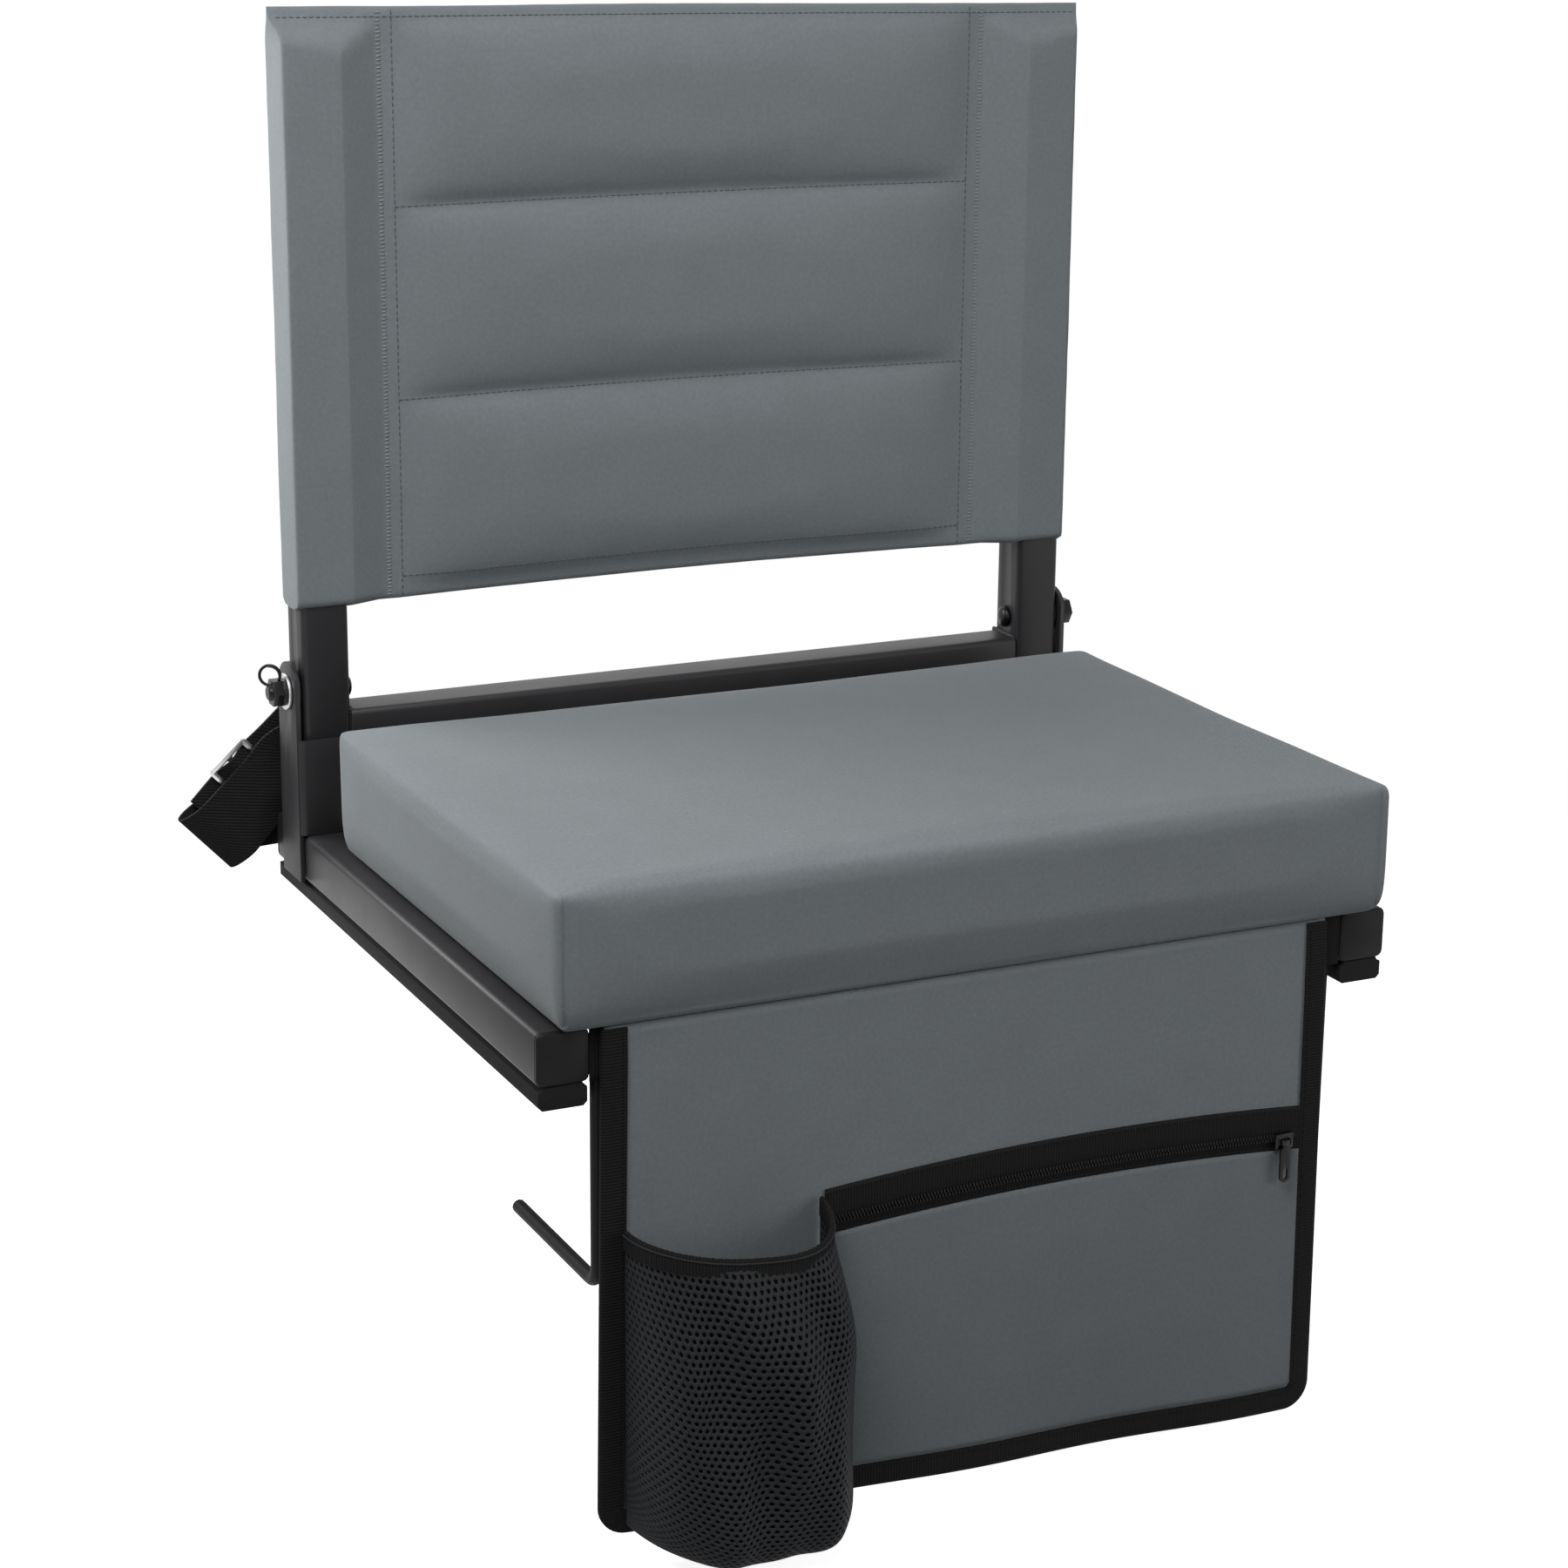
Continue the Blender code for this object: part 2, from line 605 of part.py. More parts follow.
def turned(name, profile, steps=24):
    """A shape turned about its own Z from a profile of (radius, height) that runs from top to bottom."""
    mesh = bpy.data.meshes.new(name)
    edges = [(index, index + 1) for index in range(len(profile) - 1)]
    mesh.from_pydata([(radius, 0, height) for radius, height in profile], edges, [])
    piece = bpy.data.objects.new(name, mesh)
    screw = piece.modifiers.new("turn", 'SCREW')
    screw.axis = 'Z'
    screw.steps = steps
    screw.render_steps = steps
    screw.use_merge_vertices = True
    screw.merge_threshold = WELD
    return piece


def build_pivot_hardware(zinc, nylon):
    """The bolts the back turns on: button head inside, spacer, washer and nut outside."""
    post_face = POST_INNER - TOUCH
    washer_inner = CHEEK_OUTER + TOUCH
    nut_inner = washer_inner + WASHER_THICKNESS + TOUCH
    tip = nut_inner + NUT_HEIGHT + BOLT_TIP
    head_top = post_face - BOLT_HEAD_HEIGHT
    flank = 0.35 * BOLT_HEAD_HEIGHT
    profile = [(0, tip), (BOLT_RADIUS * 0.8, tip), (BOLT_RADIUS, tip - BOLT_RADIUS * 0.2),
               (BOLT_RADIUS, post_face), (BOLT_HEAD_RADIUS, post_face), (BOLT_HEAD_RADIUS, post_face - flank)]
    steps = 4
    for step in range(1, steps):
        angle = math.pi / 2 * step / steps
        height = post_face - flank - (BOLT_HEAD_HEIGHT - flank) * math.sin(angle)
        profile.append((BOLT_HEAD_RADIUS * math.cos(angle), height))
    profile.append((0, head_top))
    hexagon = [(x, y) for x, y in circle(NUT_ACROSS_FLATS / math.sqrt(3), 6)]
    hole = BOLT_RADIUS + PLAY
    for side, sign in (("left", -1), ("right", 1)):
        bolt = turned(side + "_pivot_bolt", profile)
        bolt.rotation_euler = (0, sign * math.pi / 2, 0)
        bolt.location = (0, PIVOT_Y, PIVOT_HEIGHT)
        finish(bolt, zinc)

        def at(x):
            return (sign * x, PIVOT_Y, PIVOT_HEIGHT)

        spacer_x = CHEEK_INNER - TOUCH - PIVOT_SPACER / 2
        spacer = ring(side + "_pivot_spacer", PIVOT_SPACER_RADIUS, hole, PIVOT_SPACER, "X", at(spacer_x))
        finish(spacer, nylon)
        washer_x = washer_inner + WASHER_THICKNESS / 2
        finish(ring(side + "_pivot_washer", WASHER_RADIUS, hole, WASHER_THICKNESS, "X", at(washer_x)), zinc)
        nut_x = nut_inner + NUT_HEIGHT / 2
        finish(extruded(side + "_pivot_nut", [hexagon, circle(hole)], NUT_HEIGHT, "X", at(nut_x)), zinc)


def build_back_frame(steel, plastic, pivot):
    """Two posts with plugs at both ends, and the bar that joins them below the pivots."""
    length = POST_TOP - POST_BOTTOM
    middle = (POST_TOP + POST_BOTTOM) / 2
    for side, sign in (("left", -1), ("right", 1)):
        x = sign * POST_X
        post = square_tube(side + "_post", POST_SIDE, POST_WALL, length, "Z", (x, PIVOT_Y, middle))
        drill = extruded(side + "_pivot_drill", [circle(BOLT_RADIUS + PLAY)], 2 * POST_SIDE, "X",
                         (x, PIVOT_Y, PIVOT_HEIGHT))
        finish(combine(post, drill, 'DIFFERENCE', 'MANIFOLD'), steel, pivot)
        for end, level, outward in (("top", POST_TOP, 1), ("bottom", POST_BOTTOM, -1)):
            mouth = Vector((x, PIVOT_Y, level))
            name = f"{side}_post_{end}_plug"
            finish(end_plug(name, POST_SIDE, POST_WALL, "Z", mouth, outward), plastic, pivot)
    bar_centre = (0, PIVOT_Y, BAR_Z)
    finish(square_tube("back_cross_bar", BAR_SIDE, BAR_WALL, 2 * BAR_END, "X", bar_centre), steel, pivot)


def panel_section(level, channels):
    """One level of the back panel as a closed outline seen from above, right half then left half."""
    lap = PANEL_SLEEVE_GAP + PANEL_CLOTH
    full_front = -POST_SIDE / 2 - lap
    full_rear = POST_SIDE / 2 + lap
    hem_half = PANEL_HEM_THICKNESS / 2
    below_hem = max(0.0, PANEL_TOP - PANEL_HEM - level)
    open_share = min(1.0, below_hem / PANEL_SLEEVE_SLOPE)
    front = -hem_half + (full_front + hem_half) * open_share
    rear = hem_half + (full_rear - hem_half) * open_share

    outer = POST_OUTER + lap
    ridge = POST_INNER - lap - PANEL_SLEEVE_INNER
    seam_outer = ridge - PANEL_SLANT
    seam_inner = seam_outer - PANEL_SEAM
    round_corner = TUBE_CORNER
    puff = 0.0
    for low, high in zip(channels, channels[1:]):
        if low < level < high:
            puff = math.sin(math.pi * (level - low) / (high - low)) ** 0.6
    inner_columns = [seam_inner * share for share in (0.0, 0.3, 0.6, 0.82, 0.94)]

    def padded(x, sign, depth):
        share = x / seam_inner
        sag = PANEL_SAG * (1 - share ** 2)
        fade = (1 - share ** 6) * puff
        return sag + sign * (hem_half + depth * fade)

    half = [(x, padded(x, -1, PANEL_FRONT_PUFF)) for x in inner_columns]
    half += [(seam_inner, -hem_half), (seam_outer, -hem_half), (ridge, front)]
    half += [(outer - round_corner, front), (outer, front + round_corner * open_share)]
    half += [(outer, rear - round_corner * open_share), (outer - round_corner, rear)]
    half += [(ridge, rear), (seam_outer, hem_half), (seam_inner, hem_half)]
    half += [(x, padded(x, 1, PANEL_REAR_PUFF)) for x in reversed(inner_columns)]
    left = [(-x, y) for x, y in reversed(half) if x > 0]
    return [Vector((x, PIVOT_Y + y, level)) for x, y in half + left]


def build_back_panel(cloth, pivot):
    """The padded sling: a sleeve sewn round each post and puffed bands between channel lines."""
    first = PANEL_BOTTOM + PANEL_HEM
    last = PANEL_TOP - PANEL_HEM
    channels = [first, first + PANEL_CHANNEL_PITCH, first + 2 * PANEL_CHANNEL_PITCH, last]
    levels = [PANEL_BOTTOM]
    for low, high in zip(channels, channels[1:]):
        levels += [low + (high - low) * share for share in (0.0, 0.12, 0.32, 0.5, 0.68, 0.88)]
    levels += [last - PANEL_SLEEVE_SLOPE, last, PANEL_TOP]
    levels = sorted(levels)
    panel = loft("back_panel", [panel_section(level, channels) for level in levels])
    hole = POST_SIDE + 2 * PANEL_SLEEVE_GAP
    hole_top = POST_TOP + PLUG_CAP + 2 * TOUCH
    hole_bottom = PANEL_BOTTOM - PANEL_HEM
    for side, sign in (("left", -1), ("right", 1)):
        outline = rounded_rectangle(hole, hole, TUBE_CORNER + PANEL_SLEEVE_GAP)
        centre = (sign * POST_X, PIVOT_Y, (hole_top + hole_bottom) / 2)
        pocket = extruded(side + "_sleeve_pocket", [outline], hole_top - hole_bottom, "Z", centre)
        combine(panel, pocket, 'DIFFERENCE')
    finish(panel, cloth, pivot)


def build_hooks(steel, zinc, pivots):
    """Bench hooks bent from rod, each turning in a sleeve on the rail and kept by a push-on ring."""
    bottom = HOOK_HEIGHT - HOOK_DROP
    tail_end = SLEEVE_REAR + 2 * TOUCH + CLIP_THICKNESS + HOOK_TAIL
    taper = 0.5 * HOOK_RADIUS
    for side, sign in (("left", -1), ("right", 1)):
        x = sign * HOOK_X
        corners = [(x, tail_end, HOOK_HEIGHT), (x, HOOK_LEG_Y, HOOK_HEIGHT), (x, HOOK_LEG_Y, bottom),
                   (x, HOOK_LEG_Y + HOOK_REACH, bottom)]
        path = filleted(corners, HOOK_BEND)
        tip = path.pop()
        path += [tip + Vector((0, -2 * taper, 0)), tip + Vector((0, -taper, 0)), tip]
        hook = rod(side + "_hook", path, HOOK_RADIUS, 3, (1.0, 0.87, 0.5))
        finish(hook, steel, pivots[side])
        centre = (x, (SLEEVE_FRONT + SLEEVE_REAR) / 2, HOOK_HEIGHT)
        bore = HOOK_RADIUS + PLAY
        finish(ring(side + "_hook_sleeve", SLEEVE_RADIUS, bore, SLEEVE_LENGTH, "Y", centre), steel)
        clip_y = SLEEVE_REAR + TOUCH + CLIP_THICKNESS / 2
        clip_centre = (x, clip_y, HOOK_HEIGHT)
        clip = ring(side + "_hook_clip", SLEEVE_RADIUS, bore, CLIP_THICKNESS, "Y", clip_centre)
        finish(clip, zinc, pivots[side])


def flap_bottom(x):
    """The level of the flap's lower edge, which hangs a little lower on the right."""
    return HEM_Z - FLAP_DROP - FLAP_SKEW * 2 * (x - FLAP_MIDDLE) / FLAP_WIDTH


def flap_depth(x, z):
    """Where the middle of the flap's cloth lies: flat down to the zip, then in soft upright folds."""
    drop = (ZIP_BOTTOM - z) / (ZIP_BOTTOM - flap_bottom(x))
    swell = min(1.0, max(0.0, drop)) ** 2
    return FLAP_Y - FOLD_DEPTH * swell * math.cos(2 * math.pi * (x - FLAP_MIDDLE) / FOLD_SPACING)


def flap_side(sign, z):
    """The flap's left (-1) or right (+1) edge at a level, flaring slightly towards the bottom."""
    share = (HEM_Z - z) / FLAP_DROP
    return FLAP_MIDDLE + sign * (FLAP_WIDTH / 2 + FLAP_FLARE * share)


def flap_edge(inset):
    """Points down the left edge, round the lower corners and up the right edge, inset by a margin."""
    corner = FLAP_CORNER - inset
    top = HEM_Z - FLAP_HEM_RADIUS - TOUCH
    straight = 7
    turn_steps = 5
    bottom_steps = 12
    sides = []
    for sign in (-1, 1):
        corner_z = flap_bottom(flap_side(sign, HEM_Z - FLAP_DROP)) + FLAP_CORNER
        side = []
        for step in range(straight + 1):
            z = top + (corner_z - top) * step / straight
            side.append((flap_side(sign, z) - sign * inset, z))
        centre_x = flap_side(sign, corner_z) - sign * FLAP_CORNER
        for step in range(1, turn_steps + 1):
            turn = math.pi / 2 * step / turn_steps
            side.append((centre_x + sign * corner * math.cos(turn), corner_z - corner * math.sin(turn)))
        sides.append(side)
    left, right = sides
    bottom = []
    for step in range(1, bottom_steps):
        share = step / bottom_steps
        bottom.append(tuple(a + (b - a) * share for a, b in zip(left[-1], right[-1])))
    return left + bottom + right[::-1]


def build_flap(cloth, binding_cloth, pivot):
    """The hanging flap: cloth with a rolled top hem and a binding folded over its other three edges."""
    margin = BINDING_CLOTH + BINDING_SLACK
    corner = FLAP_CORNER - margin

    def place(across, down):
        top = HEM_Z
        x = FLAP_MIDDLE + (across - 0.5) * FLAP_WIDTH
        bottom = flap_bottom(x) + margin
        z = top + (bottom - top) * down ** 0.85
        height = max(0.0, corner - (z - bottom))
        pull = corner - math.sqrt(max(0.0, corner ** 2 - height ** 2))
        left = flap_side(-1, z) + margin + pull
        right = flap_side(1, z) - margin - pull
        x = left + (right - left) * across
        return (x, flap_depth(x, z), z)

    panel = thicken(sheet_grid("flap_panel", 22, 14, place), FLAP_THICKNESS)
    hem_path = [(flap_side(-1, HEM_Z) + margin, FLAP_Y, HEM_Z), (flap_side(1, HEM_Z) - margin, FLAP_Y, HEM_Z)]
    hem = rod("flap_hem", hem_path, FLAP_HEM_RADIUS, 2)
    finish(combine(panel, hem, 'UNION'), cloth, pivot)

    outer = flap_edge(0.0)
    inner = flap_edge(BINDING_WIDTH)
    wall = FLAP_THICKNESS / 2 + BINDING_SLACK
    face = wall + BINDING_CLOTH
    slot = BINDING_CLOTH / BINDING_WIDTH
    section = [(0, -face), (1, -face), (1, -wall), (slot, -wall),
               (slot, wall), (1, wall), (1, face), (0, face)]
    rings = []
    for edge_point, inner_point in zip(outer, inner):
        points = []
        for share, offset in section:
            x = edge_point[0] + (inner_point[0] - edge_point[0]) * share
            z = edge_point[1] + (inner_point[1] - edge_point[1]) * share
            points.append(Vector((x, flap_depth(x, z) + offset, z)))
        rings.append(points)
    finish(loft("flap_binding", rings), binding_cloth, pivot)


def build_zip(cloth, tape_cloth, nylon, zinc, flap_pivot, slider_pivot, puller_pivot):
    """The zip pocket: tape with its coil, the pocket cloth below, and the slider with its hinged puller."""
    layer = FLAP_THICKNESS / 2 + TOUCH + ZIP_TAPE_THICKNESS / 2
    pocket_top = ZIP_BOTTOM - TOUCH

    def tape(across, down):
        x = ZIP_LEFT + (ZIP_RIGHT - ZIP_LEFT) * across
        z = ZIP_TOP - ZIP_TAPE_HEIGHT * down
        return (x, FLAP_Y - layer, z)

    def pocket(across, down):
        x = ZIP_LEFT + (ZIP_RIGHT - ZIP_LEFT) * across
        bottom = flap_bottom(x) + BINDING_WIDTH + 2 * TOUCH
        z = pocket_top + (bottom - pocket_top) * down
        height = max(0.0, FLAP_CORNER - BINDING_WIDTH - (z - bottom))
        if across == 1:
            x -= height
        return (x, flap_depth(x, z) - layer, z)

    tape_piece = thicken(sheet_grid("zip_tape", 2, 1, tape), ZIP_TAPE_THICKNESS)
    finish(tape_piece, tape_cloth, flap_pivot)
    pocket_piece = thicken(sheet_grid("zip_pocket_panel", 16, 7, pocket), ZIP_TAPE_THICKNESS)
    finish(pocket_piece, cloth, flap_pivot)

    coil_outline = rounded_rectangle(ZIP_COIL_DEPTH, ZIP_COIL_HEIGHT, 0.45 * ZIP_COIL_DEPTH)
    coil_centre = ((ZIP_LEFT + ZIP_RIGHT) / 2, COIL_FRONT + ZIP_COIL_DEPTH / 2, COIL_Z)
    coil_length = ZIP_RIGHT - ZIP_LEFT
    finish(extruded("zip_coil", [coil_outline], coil_length, "X", coil_centre), nylon, flap_pivot)

    inner = ZIP_COIL_HEIGHT / 2 + TOUCH
    outer = inner + SLIDER_WALL
    depth = TAPE_FRONT - TOUCH - SLIDER_FRONT
    body = [(0, -outer), (depth, -outer), (depth, -inner), (SLIDER_WALL, -inner), (SLIDER_WALL, inner),
            (depth, inner), (depth, outer), (0, outer)]
    slider = extruded("zip_slider", [body], SLIDER_LENGTH, "X", (SLIDER_X, SLIDER_FRONT, COIL_Z))
    ear = [(0.5 * SLIDER_WALL, -EAR_RADIUS)]
    steps = 6
    for step in range(steps + 1):
        angle = math.pi / 2 + math.pi * step / steps
        ear.append((PIN_Y - SLIDER_FRONT + EAR_RADIUS * math.cos(angle), EAR_RADIUS * math.sin(angle)))
    ear = [ear[0]] + list(reversed(ear[1:])) + [(0.5 * SLIDER_WALL, EAR_RADIUS)]
    knuckle = PULLER_WIDTH / 2
    ear_x = knuckle / 2 + TOUCH + EAR_THICKNESS / 2
    for sign in (-1, 1):
        lug = extruded(f"slider_ear_{sign}", [ear], EAR_THICKNESS, "X",
                       (SLIDER_X + sign * ear_x, SLIDER_FRONT, COIL_Z))
        combine(slider, lug, 'UNION')
    pin = extruded("slider_pin", [circle(PIN_RADIUS, 12)], 2 * ear_x, "X", (SLIDER_X, PIN_Y, COIL_Z))
    finish(combine(slider, pin, 'UNION'), zinc, slider_pivot)

    eye = PIN_RADIUS + PLAY
    knuckle_radius = EAR_RADIUS - TOUCH
    puller = ring("zip_puller", knuckle_radius, eye, knuckle, "X", (SLIDER_X, PIN_Y, COIL_Z))
    tab_top = -0.5 * (eye + knuckle_radius)
    tab_half = PULLER_WIDTH / 2
    shoulder = tab_top - 2 * EAR_RADIUS
    end = -PULLER_LENGTH
    tab = [(-knuckle / 2, tab_top), (-knuckle / 2, -EAR_RADIUS - TOUCH), (-tab_half, shoulder)]
    for step in range(steps + 1):
        angle = math.pi + math.pi * step / steps
        tab.append((tab_half * math.cos(angle), end + tab_half + tab_half * math.sin(angle)))
    tab += [(tab_half, shoulder), (knuckle / 2, -EAR_RADIUS - TOUCH), (knuckle / 2, tab_top)]
    slot = rounded_rectangle(PULLER_SLOT_WIDTH, PULLER_SLOT_LENGTH, 0.49 * PULLER_SLOT_WIDTH)
    slot = shifted(slot, 0, end + tab_half - PULLER_SLOT_WIDTH / 2 + PULLER_SLOT_LENGTH / 2)
    blade = extruded("puller_blade", [tab, slot], PULLER_THICKNESS, "Y", (SLIDER_X, PIN_Y, COIL_Z))
    finish(combine(puller, blade, 'UNION'), zinc, puller_pivot)


def bottle_depth(across, down):
    """How far the mesh pocket stands out, as a share: full in the middle, none at its sewn edges."""
    curved = max(0.0, (down - BOTTLE_STRAIGHT) / (1 - BOTTLE_STRAIGHT))
    wide = max(0.0, 1 - abs(2 * across - 1) ** BOTTLE_SQUARENESS) ** 0.5
    low = max(0.0, 1 - curved ** BOTTLE_SQUARENESS) ** 0.5
    return wide * low * (BOTTLE_MOUTH + (1 - BOTTLE_MOUTH) * math.sin(math.pi * down))


def build_bottle_pocket(net, binding_cloth, pivot):
    """The open-topped mesh pocket: it bulges forward and sags below the flap's edge."""
    back = FLAP_THICKNESS / 2 + BINDING_SLACK + BINDING_CLOTH + TOUCH + BOTTLE_CLOTH / 2

    def eased(share):
        return 0.5 - 0.5 * math.cos(math.pi * share)

    def place(across, down):
        across = eased(across)
        down = math.sin(math.pi / 2 * down)
        stand = bottle_depth(across, down)
        x = BOTTLE_LEFT + BOTTLE_WIDTH * across
        bottom = flap_bottom(x) + BINDING_WIDTH / 2
        z = BOTTLE_RIM + (bottom - BOTTLE_RIM) * down
        y = flap_depth(x, z) - back - BOTTLE_DEPTH * stand
        return (x, y, z - BOTTLE_SAG * stand * down ** 2)

    pocket = thicken(sheet_grid("bottle_pocket", 14, 14, place), BOTTLE_CLOTH)
    finish(pocket, net, pivot)
    rim = []
    rise = BOTTLE_RIM_RADIUS + TOUCH + BOTTLE_CLOTH / 2
    steps = 16
    for step in range(steps + 1):
        x, y, z = place(step / steps, 0.0)
        y = min(y, FLAP_FRONT - BINDING_SLACK - BINDING_CLOTH - TOUCH - BOTTLE_RIM_RADIUS)
        rim.append((x, y, z + rise))
    finish(rod("bottle_pocket_rim", rim, BOTTLE_RIM_RADIUS, 2), binding_cloth, pivot)


def strap_stations():
    """The strap's left half as (middle, direction across the webbing): bar loop, slide, fold and run."""
    bar = Vector((0, PIVOT_Y, BAR_Z))
    hold = BAR_SIDE / 2 + TOUCH + STRAP_THICKNESS / 2
    outside = hold + STRAP_THICKNESS + 2 * TOUCH
    soft = STRAP_BAR_CORNER
    loop_x = -(BAR_END - STRAP_WIDTH / 2 - TOUCH)
    across_bar = Vector((1, 0, 0))
    loop = [(hold, 0), (hold, -hold + soft), (hold - soft, -hold), (-hold + soft, -hold),
            (-hold, -hold + soft), (-hold, hold - soft), (-hold + soft, hold), (hold - soft, hold),
            (outside, hold - soft)]
    stations = [(bar + Vector((loop_x, y, z)), across_bar) for y, z in loop]

    run_y = RAIL_REAR + PLUG_CAP + 2 * TOUCH + STRAP_THICKNESS
    fold = Vector((-FRAME_WIDTH / 2 - STRAP_FOLD_OUT, run_y, BAR_Z - STRAP_FOLD_DROP))
    down = STRAP_DOWN
    across = STRAP_ACROSS
    weave = (SLIDE_THICKNESS + STRAP_THICKNESS) / 2 + 2 * TOUCH
    pitch = SLIDE_BAR + SLIDE_SLOT
    past_bar = SLIDE_BAR / 2 + TOUCH
    slide = fold - down * SLIDE_FROM_FOLD
    off_bar = Vector((loop_x - STRAP_LEAVE_OUT, outside + STRAP_LEAVE_BACK, STRAP_LEAVE_RISE))
    stations.append((bar + off_bar, Vector((0.92, 0, -0.39))))
    leave = slide - down * STRAP_BEFORE_SLIDE
    leave.y = run_y - STRAP_LEAVE_RISE
    stations.append((leave, Vector((0.78, 0, -0.62))))
    for bar_place, side in ((-pitch, 1), (0, -1), (pitch, 1)):
        for reach in (-past_bar, past_bar):
            middle = slide + down * (bar_place + reach)
            middle.y += side * weave
            stations.append((middle, across))
    turn = STRAP_THICKNESS + TOUCH
    stations.append((fold - down * turn, across))
    stations.append((fold + Vector((0, turn, 0)) + down * turn * 0.4, across))
    stations.append((fold + Vector((0, 2 * turn, 0)) - down * turn, across))
    rear = run_y + 2 * turn
    low = fold.z + STRAP_RUN_RISE
    high = low + STRAP_RUN_LIFT
    turning = Vector((fold.x + STRAP_TURN_OUT, rear + turn, low - STRAP_TURN_DIP))
    stations.append((turning, Vector((0.42, 0, -0.91))))
    stations.append((Vector((fold.x + STRAP_FLAT_OUT, rear + 1.5 * turn, low)), Vector((0.14, 0, -0.99))))
    upright = Vector((0, 0, -1))
    stations.append((Vector((STRAP_RUN_START * fold.x, rear + 2 * turn, high)), upright))
    stations.append((Vector((0, rear + 2 * turn, high)), upright))
    return stations, slide


def build_strap(webbing, zinc, pivot):
    """Webbing looped round the back's bar at both ends, threaded through a slide on the left."""
    stations, slide = strap_stations()
    rings = []
    for index, (middle, wide) in enumerate(stations):
        before = stations[max(index - 1, 0)][0]
        after = stations[min(index + 1, len(stations) - 1)][0]
        wide = wide.normalized()
        thin = wide.cross(after - before).normalized() * STRAP_THICKNESS / 2
        edge = wide * STRAP_WIDTH / 2
        rings.append([middle - edge - thin, middle + edge - thin, middle + edge + thin, middle - edge + thin])
    strap = loft("carry_strap", rings)
    half = bmesh.new()
    half.from_mesh(strap.data)
    half.faces.ensure_lookup_table()
    at_middle = [face for face in half.faces if all(abs(vertex.co.x) < WELD for vertex in face.verts)]
    bmesh.ops.delete(half, geom=at_middle, context='FACES_ONLY')
    half.to_mesh(strap.data)
    half.free()
    mirror = strap.modifiers.new("right_half", 'MIRROR')
    mirror.merge_threshold = 10 * WELD
    finish(strap, webbing, pivot)

    width = STRAP_WIDTH + 4 * TOUCH + 2 * SLIDE_BAR
    length = 3 * SLIDE_BAR + 2 * SLIDE_SLOT
    outline = rounded_rectangle(width, length, SLIDE_BAR)
    window = rounded_rectangle(STRAP_WIDTH + 4 * TOUCH, SLIDE_SLOT, 0.3 * SLIDE_BAR)
    offset = (SLIDE_BAR + SLIDE_SLOT) / 2
    loops = [outline, shifted(window, 0, offset), shifted(window, 0, -offset)]
    plate = extruded("strap_slide", loops, SLIDE_THICKNESS, "Z", (0, 0, 0))
    frame = Matrix((STRAP_ACROSS, STRAP_DOWN, STRAP_ACROSS.cross(STRAP_DOWN))).transposed().to_4x4()
    plate.matrix_world = Matrix.Translation(slide) @ frame
    finish(plate, zinc, pivot)


def main():
    clear_scene()
    steel = make_material("powder_coated_steel", (0.022, 0.021, 0.023), 0.42)
    plastic = make_material("black_plastic", (0.014, 0.014, 0.015), 0.5)
    rubber = make_material("black_rubber", (0.016, 0.016, 0.017), 0.75)
    cloth = make_material("grey_polyester", (0.165, 0.18, 0.19), 0.9)
    binding = make_material("black_binding", (0.012, 0.012, 0.013), 0.85)
    webbing = make_material("black_webbing", (0.014, 0.014, 0.015), 0.8)
    net = make_material("black_net", (0.010, 0.010, 0.011), 0.8)
    zinc = make_material("zinc_plated_steel", (0.55, 0.55, 0.56), 0.3, 1.0)
    nylon = make_material("black_nylon", (0.015, 0.015, 0.016), 0.45)
    board = make_material("seat_board_paint", (0.03, 0.03, 0.03), 0.7)

    back_pivot = make_pivot("back_pivot", (0, PIVOT_Y, PIVOT_HEIGHT))
    hook_pivots = {
        "left": make_pivot("left_hook_axis", (-HOOK_X, SLEEVE_FRONT, HOOK_HEIGHT)),
        "right": make_pivot("right_hook_axis", (HOOK_X, SLEEVE_FRONT, HOOK_HEIGHT)),
    }
    flap_pivot = make_pivot("flap_axis", (FLAP_MIDDLE, FLAP_Y, HEM_Z))
    slider_pivot = make_pivot("zip_slider_axis", (SLIDER_X, SLIDER_FRONT, COIL_Z))
    puller_pivot = make_pivot("zip_puller_axis", (SLIDER_X, PIN_Y, COIL_Z))

    build_rails(steel, plastic, rubber)
    build_seat_base(steel, board)
    build_cushion(cloth)
    build_brackets(steel)
    build_pivot_hardware(zinc, nylon)
    build_back_frame(steel, plastic, back_pivot)
    build_back_panel(cloth, back_pivot)
    build_hooks(steel, zinc, hook_pivots)
    build_flap(cloth, binding, flap_pivot)
    build_zip(cloth, binding, nylon, zinc, flap_pivot, slider_pivot, puller_pivot)
    build_bottle_pocket(net, binding, flap_pivot)
    build_strap(webbing, zinc, back_pivot)


main()
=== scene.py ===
"""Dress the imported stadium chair: painted steel, padded cloth, net, webbing and a plain studio stage."""

import json
import math

import bmesh
import bpy
from bpy.props import FloatProperty, FloatVectorProperty, PointerProperty
from bpy.types import Operator, Panel, PropertyGroup
from mathutils import Matrix, Vector, noise
from mathutils.bvhtree import BVHTree

